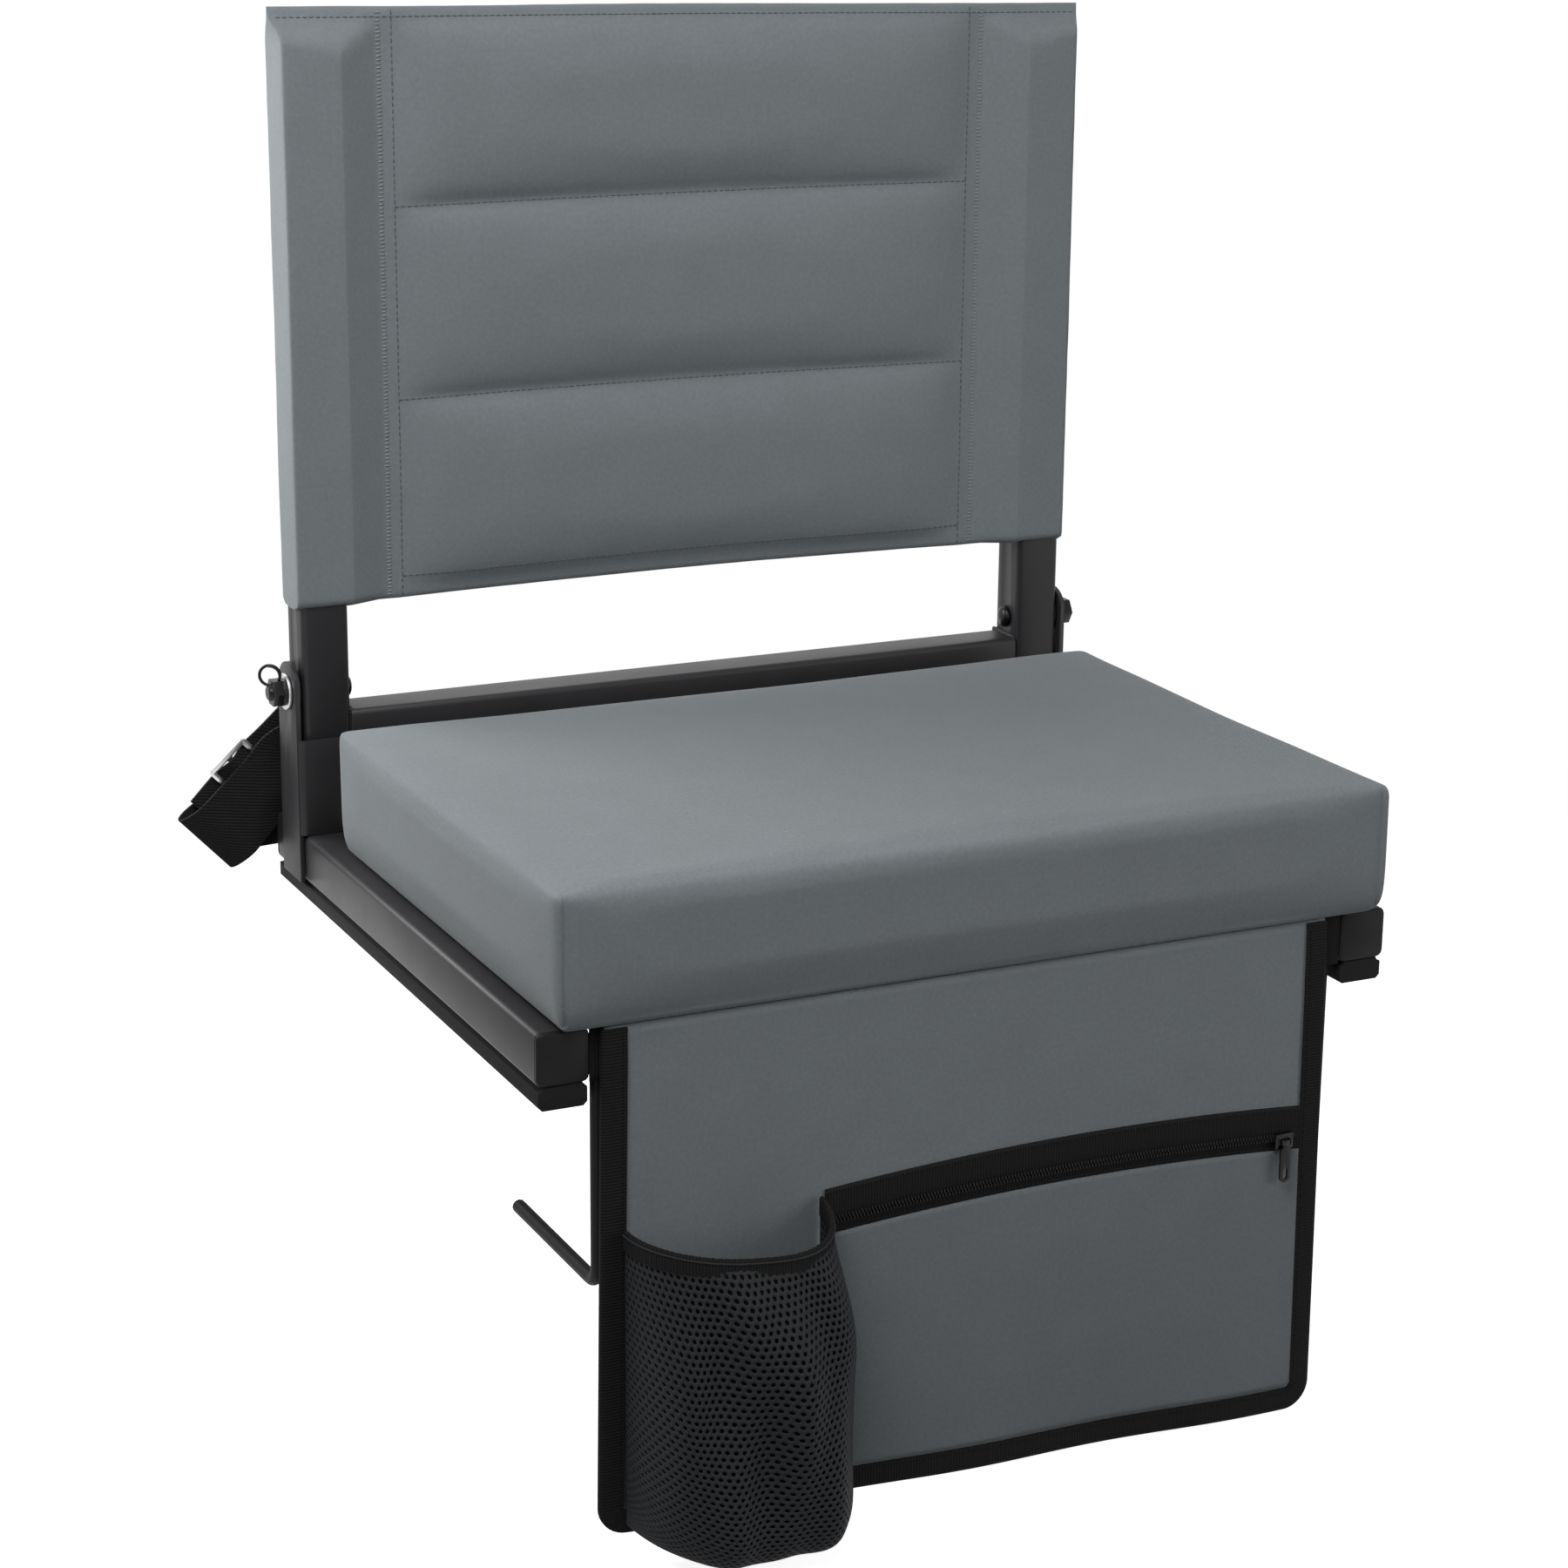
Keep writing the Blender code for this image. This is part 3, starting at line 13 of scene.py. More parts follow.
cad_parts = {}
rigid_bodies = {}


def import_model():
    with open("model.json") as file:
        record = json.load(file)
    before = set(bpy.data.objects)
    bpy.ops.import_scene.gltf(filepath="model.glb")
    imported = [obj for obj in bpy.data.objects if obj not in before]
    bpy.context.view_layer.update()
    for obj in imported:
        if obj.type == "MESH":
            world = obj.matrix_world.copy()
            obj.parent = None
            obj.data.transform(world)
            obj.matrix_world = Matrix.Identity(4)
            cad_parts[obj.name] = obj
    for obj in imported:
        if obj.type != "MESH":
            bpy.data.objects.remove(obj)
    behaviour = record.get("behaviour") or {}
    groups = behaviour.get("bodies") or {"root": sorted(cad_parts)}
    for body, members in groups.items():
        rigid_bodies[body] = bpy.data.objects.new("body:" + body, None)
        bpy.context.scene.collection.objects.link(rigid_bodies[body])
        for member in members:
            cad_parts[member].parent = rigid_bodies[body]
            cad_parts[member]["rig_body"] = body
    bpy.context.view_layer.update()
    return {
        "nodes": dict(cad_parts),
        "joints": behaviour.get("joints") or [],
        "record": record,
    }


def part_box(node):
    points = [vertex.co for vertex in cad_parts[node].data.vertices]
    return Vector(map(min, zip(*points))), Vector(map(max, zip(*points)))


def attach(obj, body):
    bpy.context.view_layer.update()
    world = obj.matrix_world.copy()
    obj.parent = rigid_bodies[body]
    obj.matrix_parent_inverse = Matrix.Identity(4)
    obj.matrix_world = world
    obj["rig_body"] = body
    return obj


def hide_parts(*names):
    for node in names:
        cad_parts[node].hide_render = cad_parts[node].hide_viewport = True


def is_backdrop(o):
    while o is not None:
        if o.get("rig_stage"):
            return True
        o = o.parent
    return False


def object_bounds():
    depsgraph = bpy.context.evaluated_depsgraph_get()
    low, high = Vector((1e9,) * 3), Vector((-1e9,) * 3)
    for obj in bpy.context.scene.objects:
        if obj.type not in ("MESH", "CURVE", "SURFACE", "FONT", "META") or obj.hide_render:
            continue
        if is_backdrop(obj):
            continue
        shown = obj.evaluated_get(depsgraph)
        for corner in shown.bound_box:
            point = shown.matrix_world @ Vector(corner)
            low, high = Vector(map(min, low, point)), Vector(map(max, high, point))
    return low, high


bl_info = {
    "name": "Stadium chair dressing",
    "version": (1, 0, 0),
    "blender": (4, 5, 0),
    "location": "3D View > Sidebar > Chair",
    "description": "Puts cloth, net, webbing and finished steel on the chair's frame, and sets its stage",
    "category": "Object",
}

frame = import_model()
MM = 0.001
MERGE = 0.002 * MM
TOUCH = 0.3 * MM
LEFT_RIGHT = ("left", "right")
SIDES = (("left", -1), ("right", 1))
# How Cloth blows a sewn shell up: its pressure, its last frame and the furthest that a point may move
PRESSURE = 2.0
LAST_FRAME = 20
PUFF_LIMIT = 1.5 * MM
# The net's flat width and height in metres
NET_KNIT = (0.150, 0.190)
# Steps along the net's mouth
MOUTH_STEPS = 120
# Where the strap runs, in millimetres: out along the bar, and down past the middle of its slide
BAR_STATIONS = (-112, -126, -140, -156)
SLIDE_STATIONS = (-9, 2, 14, 24, 30)
# Each lamp's name, place and width in metres
LAMPS = (("key", (-0.75, -0.8, 1.3), 0.8), ("top", (-0.35, -0.25, 1.05), 0.5),
         ("side", (-0.55, 0.45, 0.4), 0.35), ("fill", (1.0, -1.3, 0.3), 0.9), ("rim", (0.5, 1.6, 1.6), 1.2))
# What the stage shows to the eye, and the dark grey that its floor throws back at the chair
WHITE = (1, 1, 1, 1)
DIM = (0.12, 0.12, 0.12, 1)
HEM = next(Vector(joint["pos_m"]) for joint in frame["joints"] if joint["name"] == "flap_lift")
NODE_BOX = {node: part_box(node) for node in frame["nodes"]}


def box(node):
    """The lowest and highest corner of a CAD node."""
    low, high = NODE_BOX[node]
    return low.copy(), high.copy()


def linear(code):
    """An sRGB hex colour as linear red, green, blue and alpha."""
    shares = [int(code[start:start + 2], 16) / 255 for start in (1, 3, 5)]
    bent = [s / 12.92 if s <= 0.04045 else ((s + 0.055) / 1.055) ** 2.4 for s in shares]
    return (*bent, 1.0)


def number(name, description, value, **kind):
    """A number property, with its unit or subtype where it has one."""
    return FloatProperty(name=name, description=description, default=value, **kind)


def length(name, description, value):
    """A length property in metres with its default given in millimetres."""
    return number(name, description, value * MM, unit='LENGTH', precision=5)


def angle(name, description, degrees):
    """An angle property with its default given in degrees."""
    return number(name, description, math.radians(degrees), subtype='ANGLE')


def power(name, description, watts):
    """A lamp's power."""
    return number(name, description, watts, unit='POWER')


def colour(name, description, code):
    """A colour property with its default given as an sRGB hex value."""
    return FloatVectorProperty(name=name, description=description, default=linear(code), size=4,
                               subtype='COLOR', min=0.0, max=1.0)


class ChairColours(PropertyGroup):
    """The colours of the chair's finishes and of the stage."""

    cloth: colour("Cloth", "Grey of the woven polyester", "#7b8184")
    cloth_shade: colour("Cloth shade", "Darker yarn that crosses it", "#6a7073")
    binding: colour("Binding", "Black of the edge tape", "#1b1b1c")
    webbing: colour("Webbing", "Black of the carrying strap", "#222223")
    net: colour("Net", "Charcoal of the bottle net", "#2c2d2f")
    # Painted shade: black of the sheet behind the net, for the dark inside the pocket; the tape thread shares
    # it
    shade_sheet: colour("Lining", "Black cloth behind the net", "#0d0d0e")
    thread: colour("Thread", "Sewing thread on the grey cloth", "#5d6366")
    overcast: colour("Overcast", "Paler thread over the edge of the sling's seam strips", "#8a8f92")
    coat: colour("Powder coat", "Black paint on the tubes", "#29282a")
    plastic: colour("Plastic", "End plugs", "#151516")
    rubber: colour("Rubber", "Foot strips", "#1b1b1c")
    # Painted shade: the hooks' black coat made darker and duller for the cushion's shadow over them
    shade_black: colour("Vinyl", "Dipped skin on the bench hooks", "#131314")
    zinc: colour("Zinc", "Plated washers, clips and strap slide", "#c9cacc")
    blackened: colour("Blackened steel", "Bolts, nuts, zip slider and puller", "#0d0d0e")
    nylon: colour("Nylon", "Zip coil and hinge spacers", "#19191a")
    board: colour("Board", "Painted seat board", "#2f2c29")
    floor: colour("Floor", "Studio floor", "#f4f4f4")


class ThreadSizes(PropertyGroup):
    """Threads and stitches."""

    weave: length("Weave", "Thread spacing as drawn", 1.3)
    stitch_spacing: length("Stitch spacing", "From one stitch to the next", 3.4)
    stitch_length: length("Stitch length", "Length of one stitch", 2.6)
    stitch_width: length("Stitch width", "Thickness of the sewing thread", 0.7)
    overcast_spacing: length("Overcast spacing", "From one overcast thread to the next", 1.9)
    overcast_reach: length("Overcast reach", "How far an overcast thread reaches across", 3.2)
    rib: length("Tape rib", "Rib spacing of the edge tape", 1.5)


class SteelSizes(PropertyGroup):
    """Edges and welds of the metal and plastic pieces."""

    edge: length("Edge", "Rounding on cut edges", 0.45)
    weld_width: length("Weld width", "Width of a weld bead", 3.2)
    weld_spacing: length("Weld spacing", "From one weld ripple to the next", 1.5)
    hook_radius: length("Hook radius", "Radius of the hook rod", 3.4)
    hook_bend: length("Hook bend", "Bend radius of the hook rod", 9.0)
    ring_radius: length("Ring radius", "Radius of the split ring in the left bolt", 5.2)
    ring_wire: length("Ring wire", "Wire radius of the split ring", 0.8)


class SlingSizes(PropertyGroup):
    """The padded back sling."""

    cloth: length("Cloth", "Thickness of the sleeve cloth", 1.5)
    gap: length("Sleeve gap", "Room between sleeve and post", 0.35)
    hem: length("Hem", "Height of the top and bottom hems", 6.0)
    hem_thickness: length("Hem thickness", "Thickness of the hems and seam strips", 3.0)
    slope: length("Sleeve slope", "Height of the sloping sleeve top at the ridge", 12.2)
    edge_slope: length("Edge slope", "Height of the sloping sleeve top at the outer edge", 6.0)
    ear: length("Ear", "How far the flattened hem stands out beyond the sleeve", 2.8)
    right_ear: length("Right ear", "How much further the hem stands out on the right", 2.6)
    left_lift: length("Left lift", "How far the top hem is drawn up on the left", 5.0)
    right_drop: length("Right drop", "How far the top hem is drawn down on the right", 1.6)
    ridge: length("Ridge", "Cloth beside the post before it slants in", 1.0)
    slant: length("Slant", "Width of the slanting cloth beside a sleeve", 22.0)
    seam: length("Seam", "Width of the twice-sewn strip", 9.2)
    pitch: length("Channel pitch", "Distance between the sewn channels", 97.0)
    front_puff: length("Front puff", "How far the bands stand out in front", 8.5)
    rear_puff: length("Rear puff", "How far the bands stand out behind", 4.8)
    sag: length("Sag", "How far the middle is bowed back", 8.0)
    grid: length("Grid", "Spacing of the cloth grid", 4.4)


class CushionSizes(PropertyGroup):
    """The foam seat pad."""

    edge: length("Edge", "Width of the soft folded edge", 6.5)
    crown: length("Crown", "Rise of the middle of the top", 3.5)
    draw_in: length("Draw-in", "How far the sides pull in between corners", 1.2)
    roll: length("Roll", "Width over which a side rolls in to the corner seam", 6.5)
    tuck: length("Tuck", "How far the side is pulled in at the seam", 2.0)
    seam: length("Seam", "From the corner to the seam on the front", 4.5)
    groove: length("Groove", "Half the width of the seam's groove", 1.6)
    groove_depth: length("Groove depth", "Depth of the seam's groove", 1.8)
    undercut: length("Undercut", "How far the lower edge tucks under", 6.0)
    crease: number("Corner crease", "Sharpness of the sewn corners", 1.0)


class FlapSizes(PropertyGroup):
    """The hanging front flap, its binding and its zip pocket."""

    width: length("Width", "Width at the top", 375.0)
    drop: length("Drop", "From the hem to the lower edge", 250.0)
    skew: length("Skew", "How much lower the right corner hangs", 5.0)
    flare: length("Flare", "How far each side widens towards the bottom", 3.0)
    right_reach: length("Right reach", "How much further it reaches on the right", 2.5)
    corner: length("Corner", "Radius of the lower corners", 14.0)
    fold_depth: length("Fold depth", "Depth of the soft upright folds", 1.4)
    fold_spacing: length("Fold spacing", "Distance between folds", 150.0)
    thickness: length("Thickness", "Thickness of the flap's cloth", 1.6)
    binding: length("Binding width", "Width of the edge tape on each face", 12.0)
    tape: length("Tape thickness", "Thickness of the edge tape", 0.9)
    slack: length("Slack", "Room between cloth and tape", 0.6)
    zip_bow: length("Zip bow", "How far the soft zip bows up between its sewn ends", 5.5)
    tooth_spacing: length("Tooth spacing", "From one zip tooth to the next", 1.7)


class NetSizes(PropertyGroup):
    """The mesh bottle pocket."""

    left: length("Left", "Place of the left sewn edge", -181.5)
    width: length("Width", "Width between the sewn edges", 97.0)
    depth: length("Depth", "How far the pocket stands out", 56.0)
    sag: length("Sag", "How far it sags below the flap", 23.0)
    bulge: length("Bulge", "How far the belly leans out to the right", 17.0)
    dip: length("Dip", "How far the mouth dips towards its right side", 14.0)
    hole_pitch: length("Hole pitch", "Distance between holes", 3.4)
    strand: length("Strand", "Thickness of the net", 0.8)
    rim_height: length("Rim height", "Height of the band round the mouth", 9.0)
    squareness: number("Squareness", "How boxy the pocket's section is", 2.6)
    straight: number("Straight share", "Share of the height before it curves in", 0.8)
    mouth: number("Mouth share", "How open the mouth stands", 0.74)
    hole: number("Hole share", "Hole size as a share of its cell", 0.54)


class StrapSizes(PropertyGroup):
    """The carrying strap and its slide."""

    width: length("Width", "Width of the webbing", 39.0)
    thickness: length("Thickness", "Thickness of the webbing", 1.5)
    slide_bar: length("Slide bar", "Width of the slide's bars", 3.0)
    slide_slot: length("Slide slot", "Width of the slide's slots", 8.5)
    slide_thickness: length("Slide thickness", "Thickness of the slide's plate", 1.6)
    slide_from_fold: length("Slide from fold", "From the strap's fold to the slide", 41.0)
    fold_out: length("Fold out", "How far the fold stands out beyond the rail", 40.0)
    fold_drop: length("Fold drop", "How far the fold hangs below the bar", 63.0)


class StageSizes(PropertyGroup):
    """Camera and lights."""

    lens: number("Lens", "Focal length in mm on a 36 mm frame", 80.85)
    distance: number("Distance", "Camera to target", 1.71, unit='LENGTH')
    azimuth: angle("Azimuth", "Camera's turn to the left", 25.51)
    elevation: angle("Elevation", "Camera's height angle", 16.19)
    roll: angle("Roll", "Camera's tilt about its own axis", 0.545)
    target: FloatVectorProperty(name="Target", description="Point that the camera looks at",
                                default=(-0.036, -0.045, 0.091), subtype='TRANSLATION')
    sky: number("Sky", "Strength of the even light", 0.13)
    key: power("Key", "Power of the lamp at the left front", 17.0)
    top: power("Top", "Power of the lamp overhead", 2.0)
    side: power("Side", "Power of the lamp at the left", 3.8)
    fill: power("Fill", "Power of the lamp at the right", 6.0)
    rim: power("Rim", "Power of the lamp behind", 8.0)


# Nodes and finishes

def feed(tree, node, inputs):
    """Fill a node's inputs; each is a value, a socket or a node's first output."""
    for key, value in inputs.items():
        if isinstance(value, bpy.types.Node):
            value = value.outputs[0]
        if isinstance(value, bpy.types.NodeSocket):
            tree.links.new(value, node.inputs[key])
        else:
            node.inputs[key].default_value = value


def add(tree, kind, inputs=None, **settings):
    """Add a node with its settings and inputs."""
    made = tree.nodes.new(kind)
    for name, value in settings.items():
        setattr(made, name, value)
    feed(tree, made, inputs or {})
    return made


def start_finish(name, base, roughness, **sockets):
    """A new material with one Principled shader, its even values set on the sockets."""
    material = bpy.data.materials.new(name)
    material.use_nodes = True
    shader = material.node_tree.nodes["Principled BSDF"]
    feed(material.node_tree, shader, {"Base Color": base, "Roughness": roughness})
    feed(material.node_tree, shader, {name.replace("_", " "): value for name, value in sockets.items()})
    material.diffuse_color = base
    return material, material.node_tree, shader


def toned(tree, shade, pattern, low, high):
    """A colour that a pattern from nought to one darkens and lightens."""
    level = add(tree, 'ShaderNodeMapRange', {"Value": pattern, "To Min": low, "To Max": high})
    return add(tree, 'ShaderNodeHueSaturation', {"Color": shade, "Value": level})


def grained(name, shade, roughness, cloud, grain=None, tone=None, rough=None, bump=None, stretch=None,
            **sockets):
    """A finish whose cloud shifts its tone and roughness, and whose grain, or else its cloud, stands up.

    Cloud and grain are a size in metres and a detail, tone and rough a low and a high end, and bump a
    strength and a height in metres. Stretch draws the pattern out along an axis.
    """
    material, tree, shader = start_finish(name, shade, roughness, **sockets)
    place = add(tree, 'ShaderNodeTexCoord').outputs["Object"]
    if stretch:
        place = add(tree, 'ShaderNodeMapping', {"Vector": place, "Scale": stretch})
    noises = []
    for size, detail in (cloud, grain or cloud):
        noises.append(add(tree, 'ShaderNodeTexNoise', {"Vector": place, "Scale": 1 / size, "Detail": detail}))
    if tone:
        feed(tree, shader, {"Base Color": toned(tree, shade, noises[0], *tone)})
    if rough:
        level = add(tree, 'ShaderNodeMapRange', {"Value": noises[0], "To Min": rough[0], "To Max": rough[1]})
        feed(tree, shader, {"Roughness": level})
    if bump:
        raised = add(tree, 'ShaderNodeBump', {"Height": noises[1], "Strength": bump[0], "Distance": bump[1]})
        feed(tree, shader, {"Normal": raised})
    return material


def powder_coat(name, shade):
    """Powder-coated steel: satin black paint with a fine orange-peel that breaks up long highlights."""
    return grained(name, shade, 0.42, (35 * MM, 3.0), (1.6 * MM, 2.0), tone=(0.85, 1.15), rough=(0.34, 0.50),
                   bump=(0.18, 0.12 * MM), Specular_IOR_Level=0.22)


def plated_steel(name, shade, metal, shine):
    """Plated steel: bright or blackened metal with cloudy passivation and fine handling marks."""
    return grained(name, shade, 0.28, (4 * MM, 4.0), (0.5 * MM, 1.0), rough=(0.18, 0.40),
                   bump=(0.08, 0.05 * MM), Metallic=metal, Specular_IOR_Level=shine)


def moulded(name, shade, roughness, grit):
    """Moulded polymer: an even body colour with the fine grit of the mould."""
    return grained(name, shade, roughness, (grit, 2.0), rough=(roughness - 0.06, roughness + 0.08),
                   bump=(0.25, 0.15 * MM), Specular_IOR_Level=0.12)


def knitted_net(name, shade):
    """Knitted polyester net: soft black strands with a dull sheen and a twisted yarn."""
    return grained(name, shade, 0.75, (0.7 * MM, 2.0), tone=(0.6, 1.5), bump=(0.5, 0.2 * MM),
                   Specular_IOR_Level=0.1)


def sewing_thread(name, shade):
    """Spun polyester thread: matt, with the twist of its plies as fine bands."""
    return grained(name, shade, 0.8, (0.4 * MM, 1.0), tone=(0.75, 1.2), Specular_IOR_Level=0.1)


def painted_plywood(name, shade):
    """Painted plywood: thin dark paint that lets the long grain show as faint ridges."""
    return grained(name, shade, 0.6, (2.5 * MM, 4.0), tone=(0.7, 1.4), bump=(0.3, 0.2 * MM),
                   stretch=(0.06, 1.0, 1.0))


def woven_polyester(name, light):
    """Woven polyester: a grey plain weave, drawn coarser than the real half-millimetre so that it shows."""
    colours = bpy.context.scene.chair_colours
    spacing = bpy.context.scene.chair_thread.weave
    material, tree, shader = start_finish(name, colours.cloth, 0.92, Sheen_Weight=0.15,
                                          Sheen_Roughness=0.5, Specular_IOR_Level=0.25)
    place = add(tree, 'ShaderNodeUVMap', uv_map="weave")
    turns = 2 * math.pi / spacing
    scaled = add(tree, 'ShaderNodeVectorMath', {0: place, 1: (turns, turns, 0)}, operation='MULTIPLY')
    axes = add(tree, 'ShaderNodeSeparateXYZ', {0: scaled})
    warp = add(tree, 'ShaderNodeMath', {0: axes.outputs["X"]}, operation='SINE')
    weft = add(tree, 'ShaderNodeMath', {0: axes.outputs["Y"]}, operation='SINE')
    cross = add(tree, 'ShaderNodeMath', {0: warp, 1: weft}, operation='MULTIPLY')
    cloud = add(tree, 'ShaderNodeTexNoise', {"Vector": place, "Scale": 1 / (28 * MM), "Detail": 4.0})
    slub = add(tree, 'ShaderNodeTexNoise', {"Vector": place, "Scale": 1 / (2.2 * MM), "Detail": 2.0})
    mix = add(tree, 'ShaderNodeMath', {0: cross, 1: 0.5, 2: slub}, operation='MULTIPLY_ADD')
    yarn = add(tree, 'ShaderNodeMix', {0: mix, 6: colours.cloth_shade, 7: colours.cloth}, data_type='RGBA')
    # Light scales the cloth's tone; below one it gives a darker copy, painted shade
    tone = toned(tree, yarn.outputs[2], cloud, 0.94 * light, 1.06 * light)
    bump = add(tree, 'ShaderNodeBump', {"Height": mix, "Strength": 0.35, "Distance": 0.25 * MM})
    feed(tree, shader, {"Base Color": tone, "Normal": bump})
    return material


def ribbed_tape(name, shade, rib, slope, light):
    """Woven tape: close ribs across its length, raised and with painted highlights on their tops, and a twill
    slant where it has one.
    """
    material, tree, shader = start_finish(name, shade, 0.8, Specular_IOR_Level=0.06)
    place = add(tree, 'ShaderNodeUVMap', uv_map="weave")
    axes = add(tree, 'ShaderNodeSeparateXYZ', {0: place})
    lean = add(tree, 'ShaderNodeMath', {0: axes.outputs["Y"], 1: slope, 2: axes.outputs["X"]},
               operation='MULTIPLY_ADD')
    turns = add(tree, 'ShaderNodeMath', {0: lean, 1: 2 * math.pi / rib}, operation='MULTIPLY')
    ribs = add(tree, 'ShaderNodeMath', {0: turns}, operation='SINE')
    fuzz = add(tree, 'ShaderNodeTexNoise', {"Vector": place, "Scale": 1 / (1.5 * MM), "Detail": 3.0})
    height = add(tree, 'ShaderNodeMath', {0: ribs, 1: 0.5, 2: fuzz}, operation='MULTIPLY_ADD')
    # Painted highlight: the rib tops are coloured lighter, up to the light factor
    tone = toned(tree, shade, height, 0.7, light)
    bump = add(tree, 'ShaderNodeBump', {"Height": height, "Strength": 0.6, "Distance": 0.3 * MM})
    feed(tree, shader, {"Base Color": tone, "Normal": bump})
    return material


def finish_named(name):
    """The material of that name, made the first time that it is asked for."""
    if name in bpy.data.materials:
        return bpy.data.materials[name]
    colours = bpy.context.scene.chair_colours
    rib = bpy.context.scene.chair_thread.rib
    makers = {
        "powder_coat": (powder_coat, colours.coat),
        "zinc_plate": (plated_steel, colours.zinc, 1.0, 0.5),
        "black_zinc": (plated_steel, colours.blackened, 0.0, 0.2),
        "woven_polyester": (woven_polyester, 1.0),
        # Painted shade: a darker copy of the grey cloth for the low-hanging zip pocket
        "pocket_polyester": (woven_polyester, 0.85),
        "knitted_net": (knitted_net, colours.net),
        "painted_plywood": (painted_plywood, colours.board),
        "plug_plastic": (moulded, colours.plastic, 0.5, 0.8 * MM),
        "foot_rubber": (moulded, colours.rubber, 0.78, 1.2 * MM),
        # Painted shade: the hooks' black coat, darker and duller for the cushion's shadow over them
        "hook_vinyl": (moulded, colours.shade_black, 0.6, 0.9 * MM),
        "coil_nylon": (moulded, colours.nylon, 0.4, 0.6 * MM),
        # Painted shade: the black sheet behind the net, ribbed like a tape
        "net_lining": (ribbed_tape, colours.shade_sheet, rib, 0.5, 1.2),
        "edge_tape": (ribbed_tape, colours.binding, rib, 0.0, 1.6),
        "strap_webbing": (ribbed_tape, colours.webbing, 1.4 * rib, 0.8, 1.7),
        "cloth_thread": (sewing_thread, colours.thread),
        "overcast_thread": (sewing_thread, colours.overcast),
        "tape_thread": (sewing_thread, colours.shade_sheet),
    }
    maker, *values = makers[name]
    return maker(name, *values)


# Pieces

def place_piece(piece, finish, body, slot, *nodes):
    """Give a finished piece its material, set it on a body and let it stand for CAD nodes; its slot is not
    used.
    """
    piece.data.materials.clear()
    piece.data.materials.append(finish_named(finish))
    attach(piece, body)
    if nodes:
        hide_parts(*nodes)
    return piece


def linked(name, data):
    """An object at the origin that shows a mesh, a curve, a lamp or a camera."""
    piece = bpy.data.objects.new(name, data)
    bpy.context.scene.collection.objects.link(piece)
    return piece


def mesh_of(body, name):
    """A mesh from a bmesh, which is freed."""
    mesh = bpy.data.meshes.new(name)
    body.to_mesh(mesh)
    body.free()
    return mesh


def settled(piece):
    """Replace a piece's mesh with what its modifiers make of it."""
    depsgraph = bpy.context.evaluated_depsgraph_get()
    mesh = bpy.data.meshes.new_from_object(piece.evaluated_get(depsgraph), preserve_all_data_layers=True,
                                           depsgraph=depsgraph)
    piece.modifiers.clear()
    piece.data = mesh
    return piece


def smoothed(piece, levels):
    """Subdivide a piece, keeping the corners of open edges."""
    change = piece.modifiers.new("smooth", 'SUBSURF')
    change.levels = levels
    change.render_levels = levels
    change.boundary_smooth = 'PRESERVE_CORNERS'
    change.uv_smooth = 'PRESERVE_BOUNDARIES'
    return settled(piece)


def thickened(piece, thickness):
    """Give an open cloth its thickness, half on each side."""
    wall = piece.modifiers.new("cloth", 'SOLIDIFY')
    wall.thickness = thickness
    wall.offset = 0.0
    return settled(piece)


def crisp(piece, degrees=50):
    """Shade a piece smooth, with a sharp line where its faces turn further than that."""
    piece.data.shade_smooth()
    piece.data.set_sharp_from_angle(angle=math.radians(degrees))
    return piece


def dressed(node, finish, edge):
    """A merged copy of a CAD node with eased edges, in the node's place."""
    source = frame["nodes"][node]
    body = bmesh.new()
    body.from_mesh(source.data)
    bmesh.ops.remove_doubles(body, verts=body.verts, dist=MERGE)
    flat = math.radians(0.5)
    bmesh.ops.dissolve_limit(body, angle_limit=flat, verts=body.verts, edges=body.edges)
    piece = linked("finished_" + node, mesh_of(body, node))
    ease = piece.modifiers.new("edges", 'BEVEL')
    ease.width = edge
    ease.segments = 2
    ease.limit_method = 'ANGLE'
    ease.angle_limit = math.radians(50)
    ease.miter_outer = 'MITER_ARC'
    crisp(settled(piece), 35)
    slots = {row["node"]: row["material_slot"] for row in frame["record"]["subparts"]}
    return place_piece(piece, finish, source["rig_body"], slots[node], node)


def tube_along(name, path, radius, sides=16):
    """A round closed rod along a path of points."""
    curve = bpy.data.curves.new(name, 'CURVE')
    curve.dimensions = '3D'
    curve.bevel_depth = radius
    curve.bevel_resolution = sides // 4
    curve.use_fill_caps = True
    spline = curve.splines.new('POLY')
    spline.points.add(len(path) - 1)
    for point, place in zip(spline.points, path):
        point.co = (*place, 1)
    line = linked(name, curve)
    depsgraph = bpy.context.evaluated_depsgraph_get()
    mesh = bpy.data.meshes.new_from_object(line.evaluated_get(depsgraph))
    bpy.data.objects.remove(line)
    body = bmesh.new()
    body.from_mesh(mesh)
    bmesh.ops.remove_doubles(body, verts=body.verts, dist=MERGE)
    bmesh.ops.recalc_face_normals(body, faces=body.faces)
    return crisp(linked(name, mesh_of(body, name)))


def rounded_path(corners, radius, steps=9):
    """A path through corners with each inner corner turned on an arc."""
    corners = [Vector(corner) for corner in corners]
    path = [corners[0]]
    for before, corner, after in zip(corners, corners[1:], corners[2:]):
        back = (before - corner).normalized()
        ahead = (after - corner).normalized()
        half = back.angle(ahead) / 2
        centre = corner + (back + ahead).normalized() * (radius / math.sin(half))
        first = (corner + back * (radius / math.tan(half)) - centre).normalized()
        last = (corner + ahead * (radius / math.tan(half)) - centre).normalized()
        path += [centre + first.slerp(last, step / steps) * radius for step in range(steps + 1)]
    path.append(corners[-1])
    return path


def running_lengths(points):
    """How far along a line each of its points lies."""
    reached = [0.0]
    for before, after in zip(points, points[1:]):
        reached.append(reached[-1] + (Vector(after) - Vector(before)).length)
    return reached


